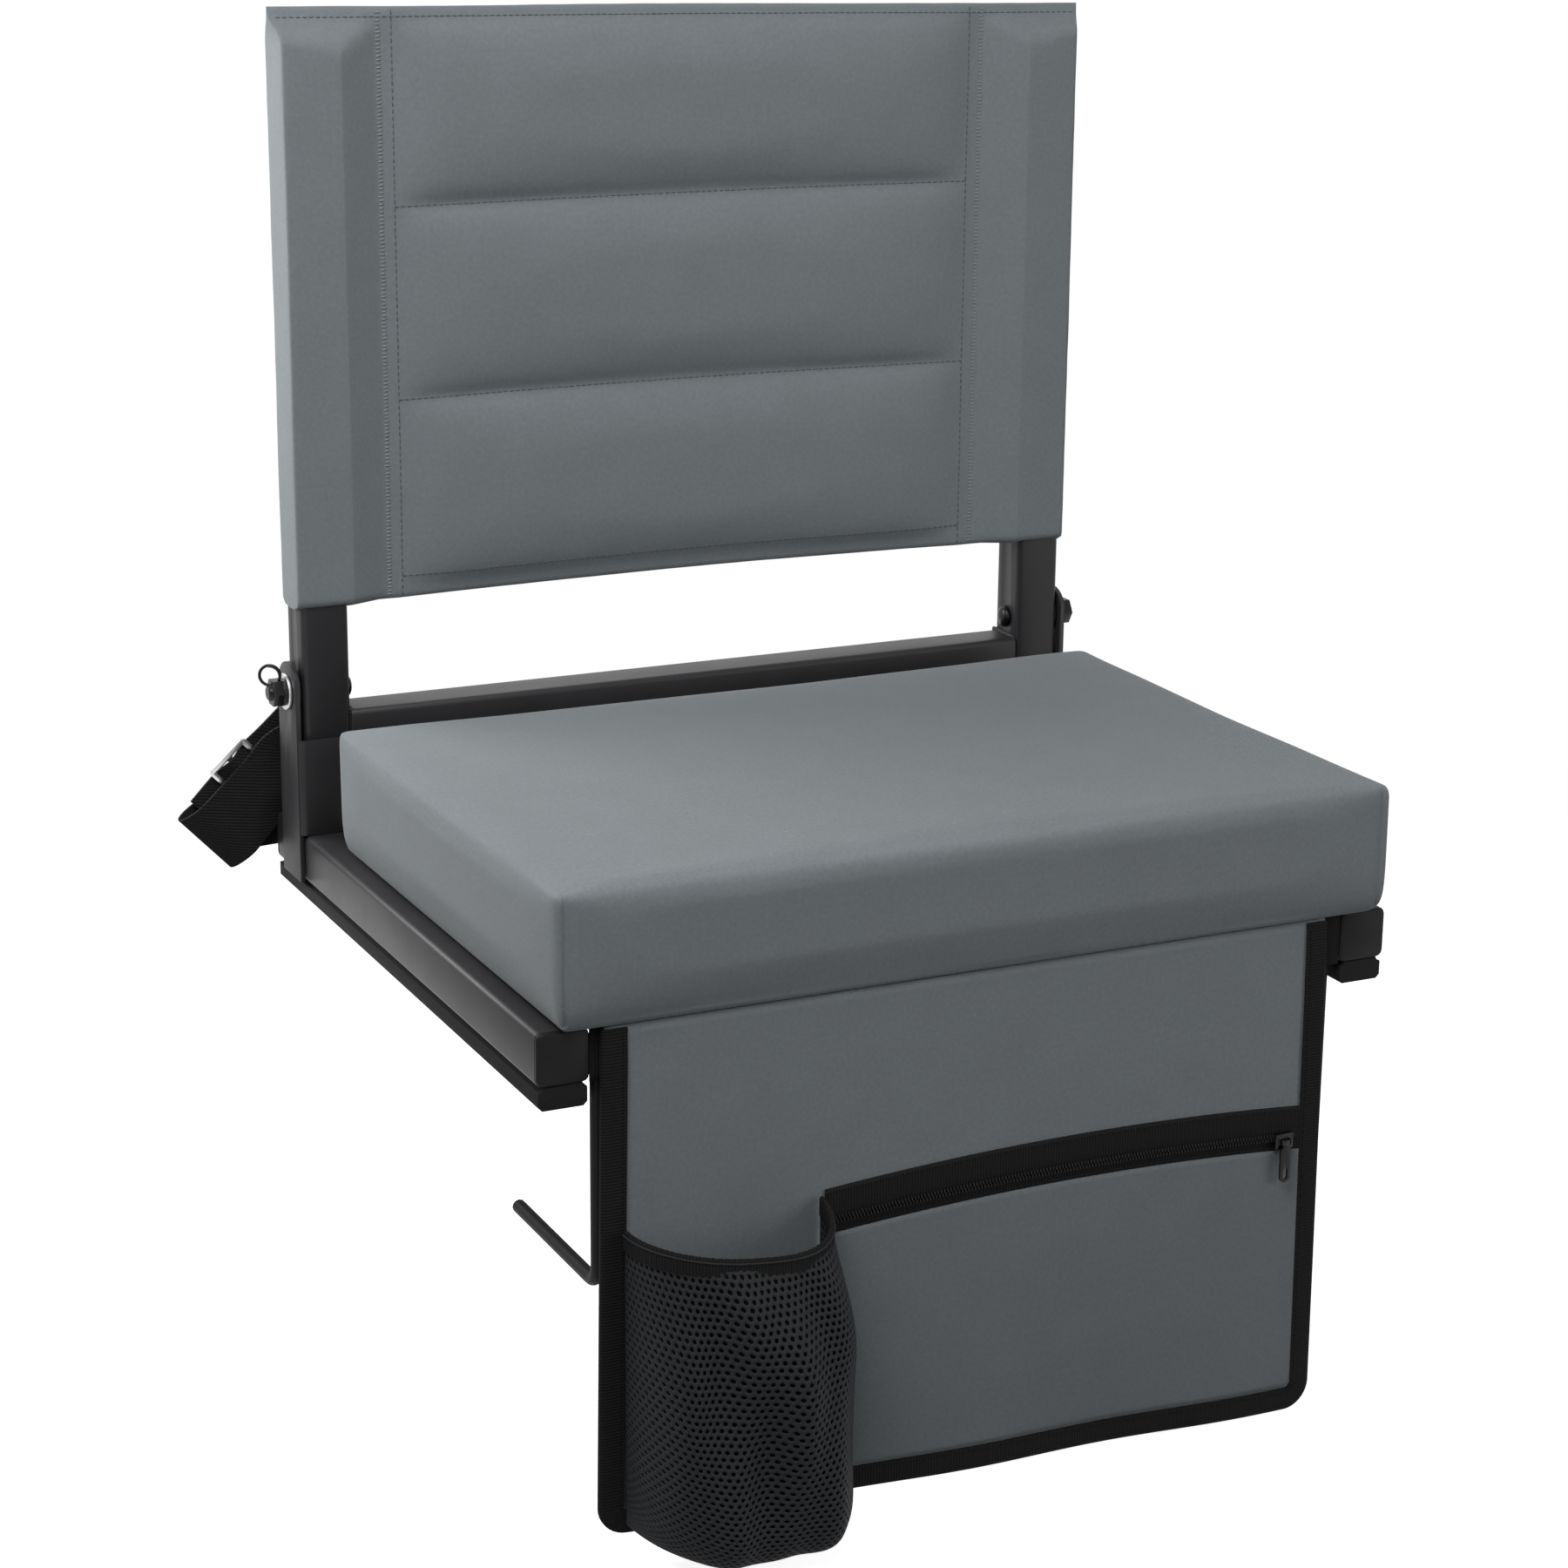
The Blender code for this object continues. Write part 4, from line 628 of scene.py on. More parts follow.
def woven_grid(name, rows, wrap=False):
    """A mesh through rows of points, with a UV map in metres of cloth; a wrapped grid closes on itself."""
    body = bmesh.new()
    weave = body.loops.layers.uv.new("weave")
    grid = [[body.verts.new(point) for point in row] for row in rows]
    middle_row = list(rows[len(rows) // 2])
    if wrap:
        middle_row.append(middle_row[0])
    across = running_lengths(middle_row)
    down = running_lengths([row[len(row) // 4] for row in rows])
    count = len(rows[0])
    for j in range(len(rows) - 1):
        for i in range(count if wrap else count - 1):
            after = (i + 1) % count
            face = body.faces.new((grid[j][i], grid[j + 1][i], grid[j + 1][after], grid[j][after]))
            places = ((i, j), (i, j + 1), (i + 1, j + 1), (i + 1, j))
            for loop, (a, d) in zip(face.loops, places):
                loop[weave].uv = (across[a], down[d])
            face.smooth = True
    return linked(name, mesh_of(body, name))


def cloth_over(name, columns, count, place, thickness):
    """A thick cloth whose points are placed from their shares of its width and height."""
    rows = []
    for j in range(count + 1):
        rows.append([place(i / columns, j / count) for i in range(columns + 1)])
    return thickened(woven_grid(name, rows), thickness)


def turn_weave(mesh):
    """Swap the two directions of a UV map, so that ribs run across a tape."""
    for place in mesh.uv_layers["weave"].data:
        place.uv = (place.uv.y, place.uv.x)


def closed_tape(tape):
    """Close a folded tape's two ends, with its ribs across it and its long edges crisp."""
    turn_weave(tape.data)
    body = bmesh.new()
    body.from_mesh(tape.data)
    bmesh.ops.holes_fill(body, edges=[edge for edge in body.edges if edge.is_boundary])
    bmesh.ops.recalc_face_normals(body, faces=body.faces)
    body.to_mesh(tape.data)
    body.free()
    return crisp(tape)


def box_weave(mesh):
    """Lay a UV map on a mesh in metres, each face seen along its main direction."""
    layer = mesh.uv_layers.get("weave") or mesh.uv_layers.new(name="weave")
    for face in mesh.polygons:
        sizes = [abs(share) for share in face.normal]
        main = sizes.index(max(sizes))
        first, second = [axis for axis in (0, 1, 2) if axis != main]
        for index in face.loop_indices:
            place = mesh.vertices[mesh.loops[index].vertex_index].co
            layer.data[index].uv = (place[first], place[second])


def ripple(place, scale, seed):
    """A smooth signed noise of about one unit, with its own seed and a feature size in metres."""
    return noise.noise(Vector(place) / scale + Vector((seed, 3 * seed, 7 * seed)))


def inflate(piece, held):
    """Blow a sewn shell up with Cloth while its held points stay, and cap how far any point moves."""
    start = [vertex.co.copy() for vertex in piece.data.vertices]
    group = piece.vertex_groups.new(name="sewn")
    for index, weight in enumerate(held):
        if weight > 0:
            group.add([index], weight, 'REPLACE')
    modifier = piece.modifiers.new("inflate", 'CLOTH')
    cloth = modifier.settings
    cloth.quality = 6
    cloth.mass = 0.25
    cloth.vertex_group_mass = "sewn"
    cloth.use_pressure = True
    cloth.uniform_pressure_force = PRESSURE
    cloth.effector_weights.gravity = 0.0
    modifier.point_cache.frame_start = 1
    modifier.point_cache.frame_end = LAST_FRAME
    scene = bpy.context.scene
    for step in range(1, LAST_FRAME + 1):
        scene.frame_set(step)
    settled(piece)
    scene.frame_set(1)
    for vertex, origin in zip(piece.data.vertices, start):
        move = vertex.co - origin
        if move.length > PUFF_LIMIT:
            vertex.co = origin + move * (PUFF_LIMIT / move.length)
    piece.vertex_groups.clear()
    return piece


# Trees that repeat a small shape

def start_tree(name, **sockets):
    """A new tree with its own inputs between geometry and material, and those inputs' outputs."""
    tree = bpy.data.node_groups.new(name, 'GeometryNodeTree')
    for port, kind in (("Geometry", "Geometry"), *sockets.items(), ("Material", "Material")):
        tree.interface.new_socket(port, in_out='INPUT', socket_type='NodeSocket' + kind)
    tree.interface.new_socket("Geometry", in_out='OUTPUT', socket_type='NodeSocketGeometry')
    return tree, add(tree, 'NodeGroupInput').outputs


def end_tree(tree, shape, material):
    """Make a tree's instances real, shade them smooth, coat them and give them out."""
    real = add(tree, 'GeometryNodeRealizeInstances', {"Geometry": shape})
    soft = add(tree, 'GeometryNodeSetShadeSmooth', {0: real})
    coated = add(tree, 'GeometryNodeSetMaterial', {"Geometry": soft, "Material": material})
    add(tree, 'NodeGroupOutput', {"Geometry": coated})
    return tree


def bead_tree():
    """A tree that sets rounded beads, such as stitches, zip teeth or weld ripples, along a mesh's lines."""
    if "beads_along_lines" in bpy.data.node_groups:
        return bpy.data.node_groups["beads_along_lines"]
    tree, given = start_tree("beads_along_lines", Spacing="Float", Size="Vector")
    lines = add(tree, 'GeometryNodeMeshToCurve', {"Mesh": given["Geometry"]})
    spaced = add(tree, 'GeometryNodeResampleCurve', {"Curve": lines, "Length": given["Spacing"]},
                 mode='LENGTH')
    bead = add(tree, 'GeometryNodeMeshUVSphere', {"Segments": 6, "Rings": 5, "Radius": 0.5})
    along = add(tree, 'GeometryNodeInputTangent')
    turn = add(tree, 'FunctionNodeAlignRotationToVector', {"Vector": along}, axis='Z')
    placed = add(tree, 'GeometryNodeInstanceOnPoints',
                 {"Points": spaced, "Instance": bead, "Rotation": turn, "Scale": given["Size"]})
    return end_tree(tree, placed, given["Material"])


def net_tree():
    """A tree that opens a hole in each cell of a mesh, leaving the strands between."""
    tree, given = start_tree("net_holes", Hole="Float")
    cells = add(tree, 'GeometryNodeExtrudeMesh', {"Mesh": given["Geometry"], "Offset Scale": 0.0},
                mode='FACES')
    inner = cells.outputs["Top"]
    drawn = add(tree, 'GeometryNodeScaleElements',
                {"Geometry": cells.outputs["Mesh"], "Selection": inner, "Scale": given["Hole"]})
    opened = add(tree, 'GeometryNodeDeleteGeometry', {"Geometry": drawn, "Selection": inner}, domain='FACE')
    return end_tree(tree, opened, given["Material"])


def grown(name, mesh, tree, values):
    """Run a tree on a mesh with its named inputs set, and keep the result as a plain mesh."""
    piece = linked(name, mesh)
    nodes = piece.modifiers.new(tree.name, 'NODES')
    nodes.node_group = tree
    for item in tree.interface.items_tree:
        if item.in_out == 'INPUT' and item.name in values:
            nodes[item.identifier] = values[item.name]
    return settled(piece)


def beads(name, lines, spacing, size, finish):
    """Beads of one size set along lines of points."""
    mesh = bpy.data.meshes.new(name)
    points = []
    edges = []
    for line in lines:
        first = len(points)
        points += [tuple(point) for point in line]
        edges += [(first + step, first + step + 1) for step in range(len(line) - 1)]
    mesh.from_pydata(points, edges, [])
    values = {"Spacing": spacing, "Size": tuple(size), "Material": finish_named(finish)}
    return grown(name, mesh, bead_tree(), values)


def stitches(name, lines, finish):
    """Rows of machine stitches along lines of points."""
    thread = bpy.context.scene.chair_thread
    size = (thread.stitch_width, thread.stitch_width, thread.stitch_length)
    return beads(name, lines, thread.stitch_spacing, size, finish)


def laid_on(piece, line, aim, lift):
    """Drop a line of points on a piece's surface along a direction, and lift it off by a hair."""
    depsgraph = bpy.context.evaluated_depsgraph_get()
    tree = BVHTree.FromObject(piece, depsgraph)
    aim = Vector(aim)
    laid = []
    for point in line:
        hit = tree.ray_cast(Vector(point) - aim, aim)[0]
        if hit is not None:
            laid.append(hit - aim.normalized() * lift)
    return laid


def straight(start, end, count):
    """Evenly spaced points from start to end."""
    start = Vector(start)
    end = Vector(end)
    return [start.lerp(end, step / (count - 1)) for step in range(count)]


# Steel, plastic and rubber

class CHAIR_OT_steel_frame(Operator):
    """Finish the painted tubes, brackets and hook sleeves, and add the weld beads that join them"""

    bl_idname = "chair.steel_frame"
    bl_label = "Steel frame"

    def execute(self, context):
        steel = context.scene.chair_steel
        for side in LEFT_RIGHT:
            for node in ("rail", "bracket", "hook_sleeve", "post"):
                dressed(f"{side}_{node}", "powder_coat", steel.edge)
        for node in ("front_cross_tube", "rear_cross_tube", "back_cross_bar"):
            dressed(node, "powder_coat", steel.edge)
        size = (steel.weld_width, steel.weld_width, 1.6 * steel.weld_spacing)
        seat_lines = []
        for node in ("front_cross_tube", "rear_cross_tube"):
            seat_lines += self.round_tube(node)
        back_lines = self.round_tube("back_cross_bar", steel.weld_width)
        for name, body, lines in (("seat_frame_welds", "seat_frame", seat_lines),
                                  ("back_welds", "back", back_lines)):
            welds = beads(name, lines, steel.weld_spacing, size, "powder_coat")
            place_piece(welds, "powder_coat", body, "powder_coated_steel")
        return {'FINISHED'}

    def round_tube(self, node, set_back=0.0):
        """Two square lines of weld, one round each end of a tube that lies along X.

        A weld that is set back keeps clear of what stands before the tube.
        """
        low, high = box(node)
        front = low.y + set_back
        lines = []
        for x in (low.x, high.x):
            corners = [(x, front, low.z), (x, high.y, low.z), (x, high.y, high.z), (x, front, high.z)]
            line = []
            for start, end in zip(corners, corners[1:] + corners[:1]):
                line += straight(start, end, 8)[:-1]
            lines.append(line + line[:1])
        return lines


class CHAIR_OT_plugs_and_feet(Operator):
    """Finish the moulded end plugs and the rubber foot strips"""

    bl_idname = "chair.plugs_and_feet"
    bl_label = "Plugs and feet"

    def execute(self, context):
        edge = context.scene.chair_steel.edge
        for side in LEFT_RIGHT:
            for node in ("front_plug", "rear_plug", "post_top_plug", "post_bottom_plug"):
                dressed(f"{side}_{node}", "plug_plastic", edge)
            dressed(side + "_foot", "foot_rubber", edge)
        return {'FINISHED'}


class CHAIR_OT_hinge_hardware(Operator):
    """Finish the hinge bolts, washers, nuts and spacers, and hang the split ring in the left bolt"""

    bl_idname = "chair.hinge_hardware"
    bl_label = "Hinge hardware"

    def execute(self, context):
        steel = context.scene.chair_steel
        finishes = {"bolt": "black_zinc", "nut": "black_zinc", "washer": "zinc_plate", "spacer": "coil_nylon"}
        for side in LEFT_RIGHT:
            for node, finish in finishes.items():
                dressed(f"{side}_pivot_{node}", finish, 0.6 * steel.edge)
        self.split_ring(steel)
        return {'FINISHED'}

    def split_ring(self, steel):
        """A split wire ring of a turn and a half that hangs up and out from the left bolt's tip."""
        low, high = box("left_pivot_bolt")
        tip = Vector((low.x + 2.0 * MM, (low.y + high.y) / 2, high.z - 2.0 * MM))
        lean = Vector((-0.1, 0.0, 1.0)).normalized()
        wide = Vector((0.9, -0.43, 0.0))
        wide = (wide - lean * wide.dot(lean)).normalized()
        centre = tip + lean * steel.ring_radius
        steps = 72
        path = []
        for step in range(steps + 1):
            turn = 3 * math.pi * step / steps
            out = lean * math.cos(turn) + wide * math.sin(turn)
            lift = lean.cross(wide) * (steel.ring_wire * 2.1 * step / steps)
            path.append(centre + out * steel.ring_radius + lift)
        ring = tube_along("split_ring", path, steel.ring_wire, 12)
        # Painted reflection: the ring is bright plated steel; the blackened finish stands in for the dark
        # that its chrome reflects
        place_piece(ring, "black_zinc", "seat_frame", "zinc_plated_steel")


class CHAIR_OT_bench_hooks(Operator):
    """Bend the bench hooks from round rod and finish their push-on clips"""

    bl_idname = "chair.bench_hooks"
    bl_label = "Bench hooks"

    def execute(self, context):
        steel = context.scene.chair_steel
        radius = steel.hook_radius
        for side in LEFT_RIGHT:
            low, high = box(side + "_hook")
            x = (low.x + high.x) / 2
            tail = box(side + "_hook_clip")[1].y + 6 * MM
            front = low.y + radius
            foot = low.z + radius
            rise = high.z - radius
            corners = [(x, tail, rise), (x, front, rise), (x, front, foot), (x, high.y, foot)]
            hook = tube_along(side + "_bent_hook", rounded_path(corners, steel.hook_bend), radius)
            # The hooks' finish is their black coat darkened as painted shade for the cushion's shadow
            place_piece(hook, "hook_vinyl", side + "_hook_body", "powder_coated_steel", side + "_hook")
            dressed(side + "_hook_clip", "zinc_plate", 0.5 * steel.edge)
        return {'FINISHED'}


class CHAIR_OT_seat_board(Operator):
    """Finish the painted board under the pad"""

    bl_idname = "chair.seat_board"
    bl_label = "Seat board"

    def execute(self, context):
        dressed("seat_board", "painted_plywood", context.scene.chair_steel.edge)
        return {'FINISHED'}


# Padded cloth

class CHAIR_OT_seat_cushion(Operator):
    """Sew the foam seat pad: a crowned block with soft folded edges and crisp corner seams"""

    bl_idname = "chair.seat_cushion"
    bl_label = "Seat cushion"

    def execute(self, context):
        sizes = context.scene.chair_cushion
        low, high = box("seat_cushion")
        high.z -= sizes.crown
        pad = self.cage(sizes, low, high)
        smoothed(pad, 3)
        self.fit(pad, low, high, sizes.crown)
        inflate(pad, self.held(pad, low, high))
        self.crease(pad, sizes, low, high)
        smoothed(pad, 1)
        pad.data.shade_smooth()
        box_weave(pad.data)
        place_piece(pad, "woven_polyester", "seat_frame", "grey_polyester", "seat_cushion")
        return {'FINISHED'}

    def cage(self, sizes, low, high):
        """A coarse block with close rows along its edges and creased upright corners."""
        middle = (low + high) / 2
        half = (high - low) / 2

        def stations(reach, shares):
            inner = [reach * share for share in shares]
            return [-reach, -reach + sizes.edge, *inner, reach - sizes.edge, reach]

        columns = stations(half.x, (-0.6, -0.2, 0.2, 0.6))
        rows = stations(half.y, (-0.5, 0.0, 0.5))
        levels = stations(half.z, (0.0,))
        last = (len(columns) - 1, len(rows) - 1, len(levels) - 1)
        body = bmesh.new()
        grid = {}

        def at(i, j, k):
            if (i, j, k) not in grid:
                across = columns[i] / half.x
                along = rows[j] / half.y
                rise = (levels[k] + half.z) / (2 * half.z)
                draw = sizes.draw_in * math.sin(math.pi * rise)
                tuck = sizes.undercut if k == 0 else 0.0
                x = columns[i] - across * draw * (1 - along ** 2)
                y = rows[j] - along * draw * (1 - across ** 2)
                x -= tuck * across if i in (0, last[0]) else 0.0
                y -= tuck * along if j in (0, last[1]) else 0.0
                z = levels[k]
                z += sizes.crown * (1 - across ** 2) * (1 - along ** 2) if k == last[2] else 0.0
                grid[i, j, k] = body.verts.new(middle + Vector((x, y, z)))
            return grid[i, j, k]

        for i in range(last[0]):
            for j in range(last[1]):
                for k in (0, last[2]):
                    body.faces.new((at(i, j, k), at(i + 1, j, k), at(i + 1, j + 1, k), at(i, j + 1, k)))
        for k in range(last[2]):
            for j in (0, last[1]):
                for i in range(last[0]):
                    body.faces.new((at(i, j, k), at(i + 1, j, k), at(i + 1, j, k + 1), at(i, j, k + 1)))
            for i in (0, last[0]):
                for j in range(last[1]):
                    body.faces.new((at(i, j, k), at(i, j + 1, k), at(i, j + 1, k + 1), at(i, j, k + 1)))
        bmesh.ops.recalc_face_normals(body, faces=body.faces)
        sharp = body.edges.layers.float.new("crease_edge")
        corners = {grid[i, j, k] for i in (0, last[0]) for j in (0, last[1]) for k in range(last[2] + 1)}
        for edge in body.edges:
            if edge.verts[0] in corners and edge.verts[1] in corners:
                edge[sharp] = sizes.crease
        return linked("sewn_seat_cushion", mesh_of(body, "seat_cushion"))

    def fit(self, pad, low, high, crown):
        """Stretch the smoothed block back to its full size."""
        points = [vertex.co for vertex in pad.data.vertices]
        small = Vector([min(point[axis] for point in points) for axis in range(3)])
        large = Vector([max(point[axis] for point in points) for axis in range(3)])
        wanted = high + Vector((0, 0, crown))
        for vertex in pad.data.vertices:
            for axis in range(3):
                share = (vertex.co[axis] - small[axis]) / (large[axis] - small[axis])
                vertex.co[axis] = low[axis] + (wanted[axis] - low[axis]) * share

    def held(self, pad, low, high):
        """Hold the underside and the four sewn corners while the pad is blown up."""
        corner_reach = 6 * MM
        underside = low.z + 2 * MM
        held = []
        for vertex in pad.data.vertices:
            across = high.x - abs(vertex.co.x)
            along = min(vertex.co.y - low.y, high.y - vertex.co.y)
            corner = across < corner_reach and along < corner_reach
            held.append(1.0 if corner or vertex.co.z < underside else 0.0)
        return held

    def crease(self, pad, sizes, low, high):
        """Soft hollows in the top, and sides that roll in to the corner seams."""
        middle = (low + high) / 2
        half = (high - low) / 2
        underside = 0.06
        pad.data.update()
        normals = [vertex.normal.copy() for vertex in pad.data.vertices]
        for vertex, normal in zip(pad.data.vertices, normals):
            across = abs(vertex.co.x - middle.x) / half.x
            along = abs(vertex.co.y - middle.y) / half.y
            rise = (vertex.co.z - low.z) / (high.z - low.z)
            if rise < underside:
                continue
            soft = 0.5 * MM * ripple(vertex.co, 70 * MM, 1.7)
            vertex.co += normal * soft
            from_corner = (1 - along) * half.y
            if from_corner < sizes.roll and (1 - across) * half.x < sizes.roll:
                pull = (1 - from_corner / sizes.roll) ** 2 * sizes.tuck
                inside = max(0.0, 1 - (1 - across) * half.x / sizes.roll)
                vertex.co.x -= math.copysign(pull * inside, vertex.co.x)
            from_seam = abs(high.x - abs(vertex.co.x) - sizes.seam)
            if vertex.co.y < middle.y and from_corner < sizes.roll and from_seam < sizes.groove:
                vertex.co.y += (1 - from_seam / sizes.groove) * sizes.groove_depth


class CHAIR_OT_back_sling(Operator):
    """Sew the padded sling: sleeves round the posts, slanting sides, seam strips and puffed bands"""

    bl_idname = "chair.back_sling"
    bl_label = "Back sling"

    def execute(self, context):
        sizes = context.scene.chair_sling
        low, high = box("back_panel")
        first = low.z + sizes.hem
        last = high.z - sizes.hem
        channels = [first, first + sizes.pitch, first + 2 * sizes.pitch, last]
        levels = [low.z]
        for bottom, top in zip(channels, channels[1:]):
            count = max(2, round((top - bottom) / sizes.grid))
            levels += [bottom + (top - bottom) * step / count for step in range(count)]
        levels += [last, high.z]
        rows = []
        held = []
        for level in levels:
            outline = self.outline(sizes, level, channels, high.z)
            row = []
            for x, y, sewn in outline:
                pull = self.pull(sizes, x, level, channels[2], high.z)
                row.append(Vector((x, self.middle + y, level)) + pull)
            rows.append(row)
            on_line = level < first or level > last or any(abs(level - c) < MERGE for c in channels)
            held += [1.0 if on_line or sewn else 0.0 for x, y, sewn in outline]
        sling = woven_grid("sewn_back_sling", rows, wrap=True)
        self.close_ends(sling, len(rows), len(rows[0]))
        inflate(sling, held)
        self.rumple(sling)
        smoothed(sling, 1)
        self.open_sleeves(sling, sizes, low.z)
        sling.data.shade_smooth()
        place_piece(sling, "woven_polyester", "back", "grey_polyester", "back_panel")
        self.sew(sling, sizes, channels, low, high)
        return {'FINISHED'}

    def outline(self, sizes, level, channels, top):
        """One level of the sling seen from above, as (x, y, sewn) right round it."""
        inner = box("right_post")[0]
        outer = box("right_post")[1]
        self.middle = (inner.y + outer.y) / 2
        lap = sizes.gap + sizes.cloth
        hem = sizes.hem_thickness / 2
        depth = (outer.y - inner.y) / 2 + lap
        side = outer.x + lap
        ridge = inner.x - lap - sizes.ridge
        seam_out = ridge - sizes.slant
        seam_in = seam_out - sizes.seam
        turn = 2.5 * MM
        below = max(0.0, top - sizes.hem - level)
        puff = 0.0
        for bottom, above in zip(channels, channels[1:]):
            if bottom < level < above:
                share = (level - bottom) / (above - bottom)
                puff = (1 - abs(2 * share - 1) ** 3.2) ** 0.55

        def open_at(x):
            if x < ridge:
                slope = sizes.slope * max(0.1, (x - seam_out) / (ridge - seam_out))
            else:
                share = min(1.0, (x - ridge) / (side - ridge))
                slope = sizes.slope + (sizes.edge_slope - sizes.slope) * share
            return min(1.0, below / slope)

        def padded(x, facing, puff_depth):
            share = x / seam_in
            bow = sizes.sag * (1 - share ** 2)
            return bow + facing * (hem + puff_depth * puff * (1 - share ** 8))

        def sleeve(x, facing):
            slanted = min(1.0, (x - seam_out) / (ridge - seam_out))
            return facing * (hem + (depth - hem) * slanted * open_at(x))

        def steps(start, end, count):
            return [start + (end - start) * step / count for step in range(count)]

        columns = round(seam_in / sizes.grid)
        half = [(x, padded(x, -1, sizes.front_puff), False) for x in steps(0.0, seam_in, columns)]
        half += [(x, -hem, True) for x in steps(seam_in, seam_out, 3)]
        side += sizes.ear * (1 - open_at(side))
        beside = 0.8 * MM
        across = steps(seam_out, ridge - beside, 7) + [ridge - beside, ridge]
        across += steps(ridge + beside, side - turn, 7)
        half += [(x, sleeve(x, -1), True) for x in across]
        edge = sleeve(side, -1)
        corner = min(turn, -edge * 0.9)
        for bend in steps(0.0, math.pi / 2, 4):
            x = side - turn + turn * math.sin(bend)
            half.append((x, edge + corner * (1 - math.cos(bend)), True))
        half += [(side, y, True) for y in steps(edge + corner, -edge - corner, 6)]
        for bend in steps(math.pi / 2, 0.0, 4):
            x = side - turn + turn * math.sin(bend)
            half.append((x, -edge - corner * (1 - math.cos(bend)), True))
        half += [(x, sleeve(x, 1), True) for x in [side - turn] + across[:0:-1]]
        half += [(x, hem, True) for x in steps(seam_out, seam_in, 3)]
        half += [(x, padded(x, 1, sizes.rear_puff), False) for x in steps(seam_in, 0.0, columns)]
        half.append((0.0, padded(0.0, 1, sizes.rear_puff), False))
        left = [(-x, y, sewn) for x, y, sewn in reversed(half) if x > MERGE]
        return half + left

    def pull(self, sizes, x, level, start, top):
        """How the top hem is drawn out of true: up on the left, down and outwards on the right."""
        rise = max(0.0, (level - start) / (top - start))
        across = x / box("right_post")[1].x
        lift = (sizes.left_lift * (1 - across) - sizes.right_drop * (1 + across)) / 2
        flat = max(0.0, 1 - max(0.0, top - sizes.hem - level) / sizes.edge_slope)
        out = sizes.right_ear * flat * max(0.0, across - 0.85) / 0.15
        return Vector((out, 0, lift * rise))

    def close_ends(self, sling, levels, count):
        """Close the top and the bottom of the shell with strips between front and rear."""
        body = bmesh.new()
        body.from_mesh(sling.data)
        body.verts.ensure_lookup_table()
        half = count // 2 + 1
        right = list(range(half))
        left = list(range(half - 1, count)) + [0]
        for first in (0, (levels - 1) * count):
            for chain in (right, left):
                for step in range(half // 2):
                    corners = [chain[step], chain[step + 1], chain[-2 - step], chain[-1 - step]]
                    made = body.faces.new([body.verts[first + index] for index in dict.fromkeys(corners)])
                    made.smooth = True
        bmesh.ops.recalc_face_normals(body, faces=body.faces)
        body.to_mesh(sling.data)
        body.free()

    def rumple(self, sling):
        """Small puckers and soft broad waves, all over the shell."""
        sling.data.update()
        normals = [vertex.normal.copy() for vertex in sling.data.vertices]
        for vertex, normal in zip(sling.data.vertices, normals):
            fine = 0.15 * MM * ripple(vertex.co, 14 * MM, 2.3)
            broad = 0.4 * MM * ripple(vertex.co, 70 * MM, 5.1)
            vertex.co += normal * (fine + broad)

    def open_sleeves(self, sling, sizes, bottom):
        """Cut the pockets that the posts stand in."""
        for side in LEFT_RIGHT:
            low, high = box(side + "_post")
            cap = box(side + "_post_top_plug")[1].z
            body = bmesh.new()
            room = Vector((sizes.gap, sizes.gap, 0))
            start = low - room
            start.z = bottom - sizes.hem
            end = high + room
            end.z = cap + 2 * TOUCH
            cube = bmesh.ops.create_cube(body, size=1.0)
            for vertex in cube["verts"]:
                share = vertex.co + Vector((0.5, 0.5, 0.5))
                vertex.co = Vector([a + (b - a) * s for a, b, s in zip(start, end, share)])
            upright = [edge for edge in body.edges if abs(edge.verts[0].co.z - edge.verts[1].co.z) > MM]
            bmesh.ops.bevel(body, geom=upright, offset=3 * MM, segments=3, affect='EDGES', profile=0.5)
            room_for_post = linked(side + "_pocket", mesh_of(body, side + "_pocket"))
            cut = sling.modifiers.new("pocket", 'BOOLEAN')
            cut.operation = 'DIFFERENCE'
            cut.solver = 'EXACT'
            cut.object = room_for_post
            settled(sling)
            bpy.data.objects.remove(room_for_post)

    def sew(self, sling, sizes, channels, low, high):
        """Two rows on each seam strip, the outer one overcast, and one along each channel and hem."""
        inner = box("right_post")[0].x
        outer = box("right_post")[1].x
        seam_out = inner - sizes.gap - sizes.cloth - sizes.ridge - sizes.slant
        lines = []
        overcast = []
        inset = 1.0 * MM
        margin = 3 * MM
        hem_row = 12 * MM
        lift = 0.1 * MM
        y = self.middle
        for facing in (-1, 1):
            aim = (0, -facing * 100 * MM, 0)
            for sign in (-1, 1):
                for across, row in ((inset, overcast), (sizes.seam - inset, lines)):
                    x = sign * (seam_out - across)
                    end = high.z - margin
                    end += self.pull(sizes, x, end, channels[2], high.z).z
                    line = straight((x, y, low.z + margin), (x, y, end), 90)
                    row.append(laid_on(sling, line, aim, lift))
            for level in channels[1:3] + [low.z + hem_row, high.z - sizes.hem + inset]:
                x = seam_out - sizes.seam if level < channels[3] else outer
                line = [p + self.pull(sizes, p.x, level, channels[2], high.z)
                        for p in straight((-x, y, level), (x, y, level), 110)]
                lines.append(laid_on(sling, line, aim, lift))
        rows = stitches("sling_stitches", lines, "cloth_thread")
        place_piece(rows, "cloth_thread", "back", "grey_polyester")
        thread = bpy.context.scene.chair_thread
        size = (thread.overcast_reach, thread.stitch_width, thread.stitch_width)
        rows = beads("sling_overcast", overcast, thread.overcast_spacing, size, "overcast_thread")
        place_piece(rows, "overcast_thread", "back", "grey_polyester")


# Flap, pockets and strap

def flap_bottom(flap, x):
    """The level of the flap's lower edge, which hangs a little lower on the right."""
    return HEM.z - flap.drop - flap.skew * 2 * (x - HEM.x) / flap.width


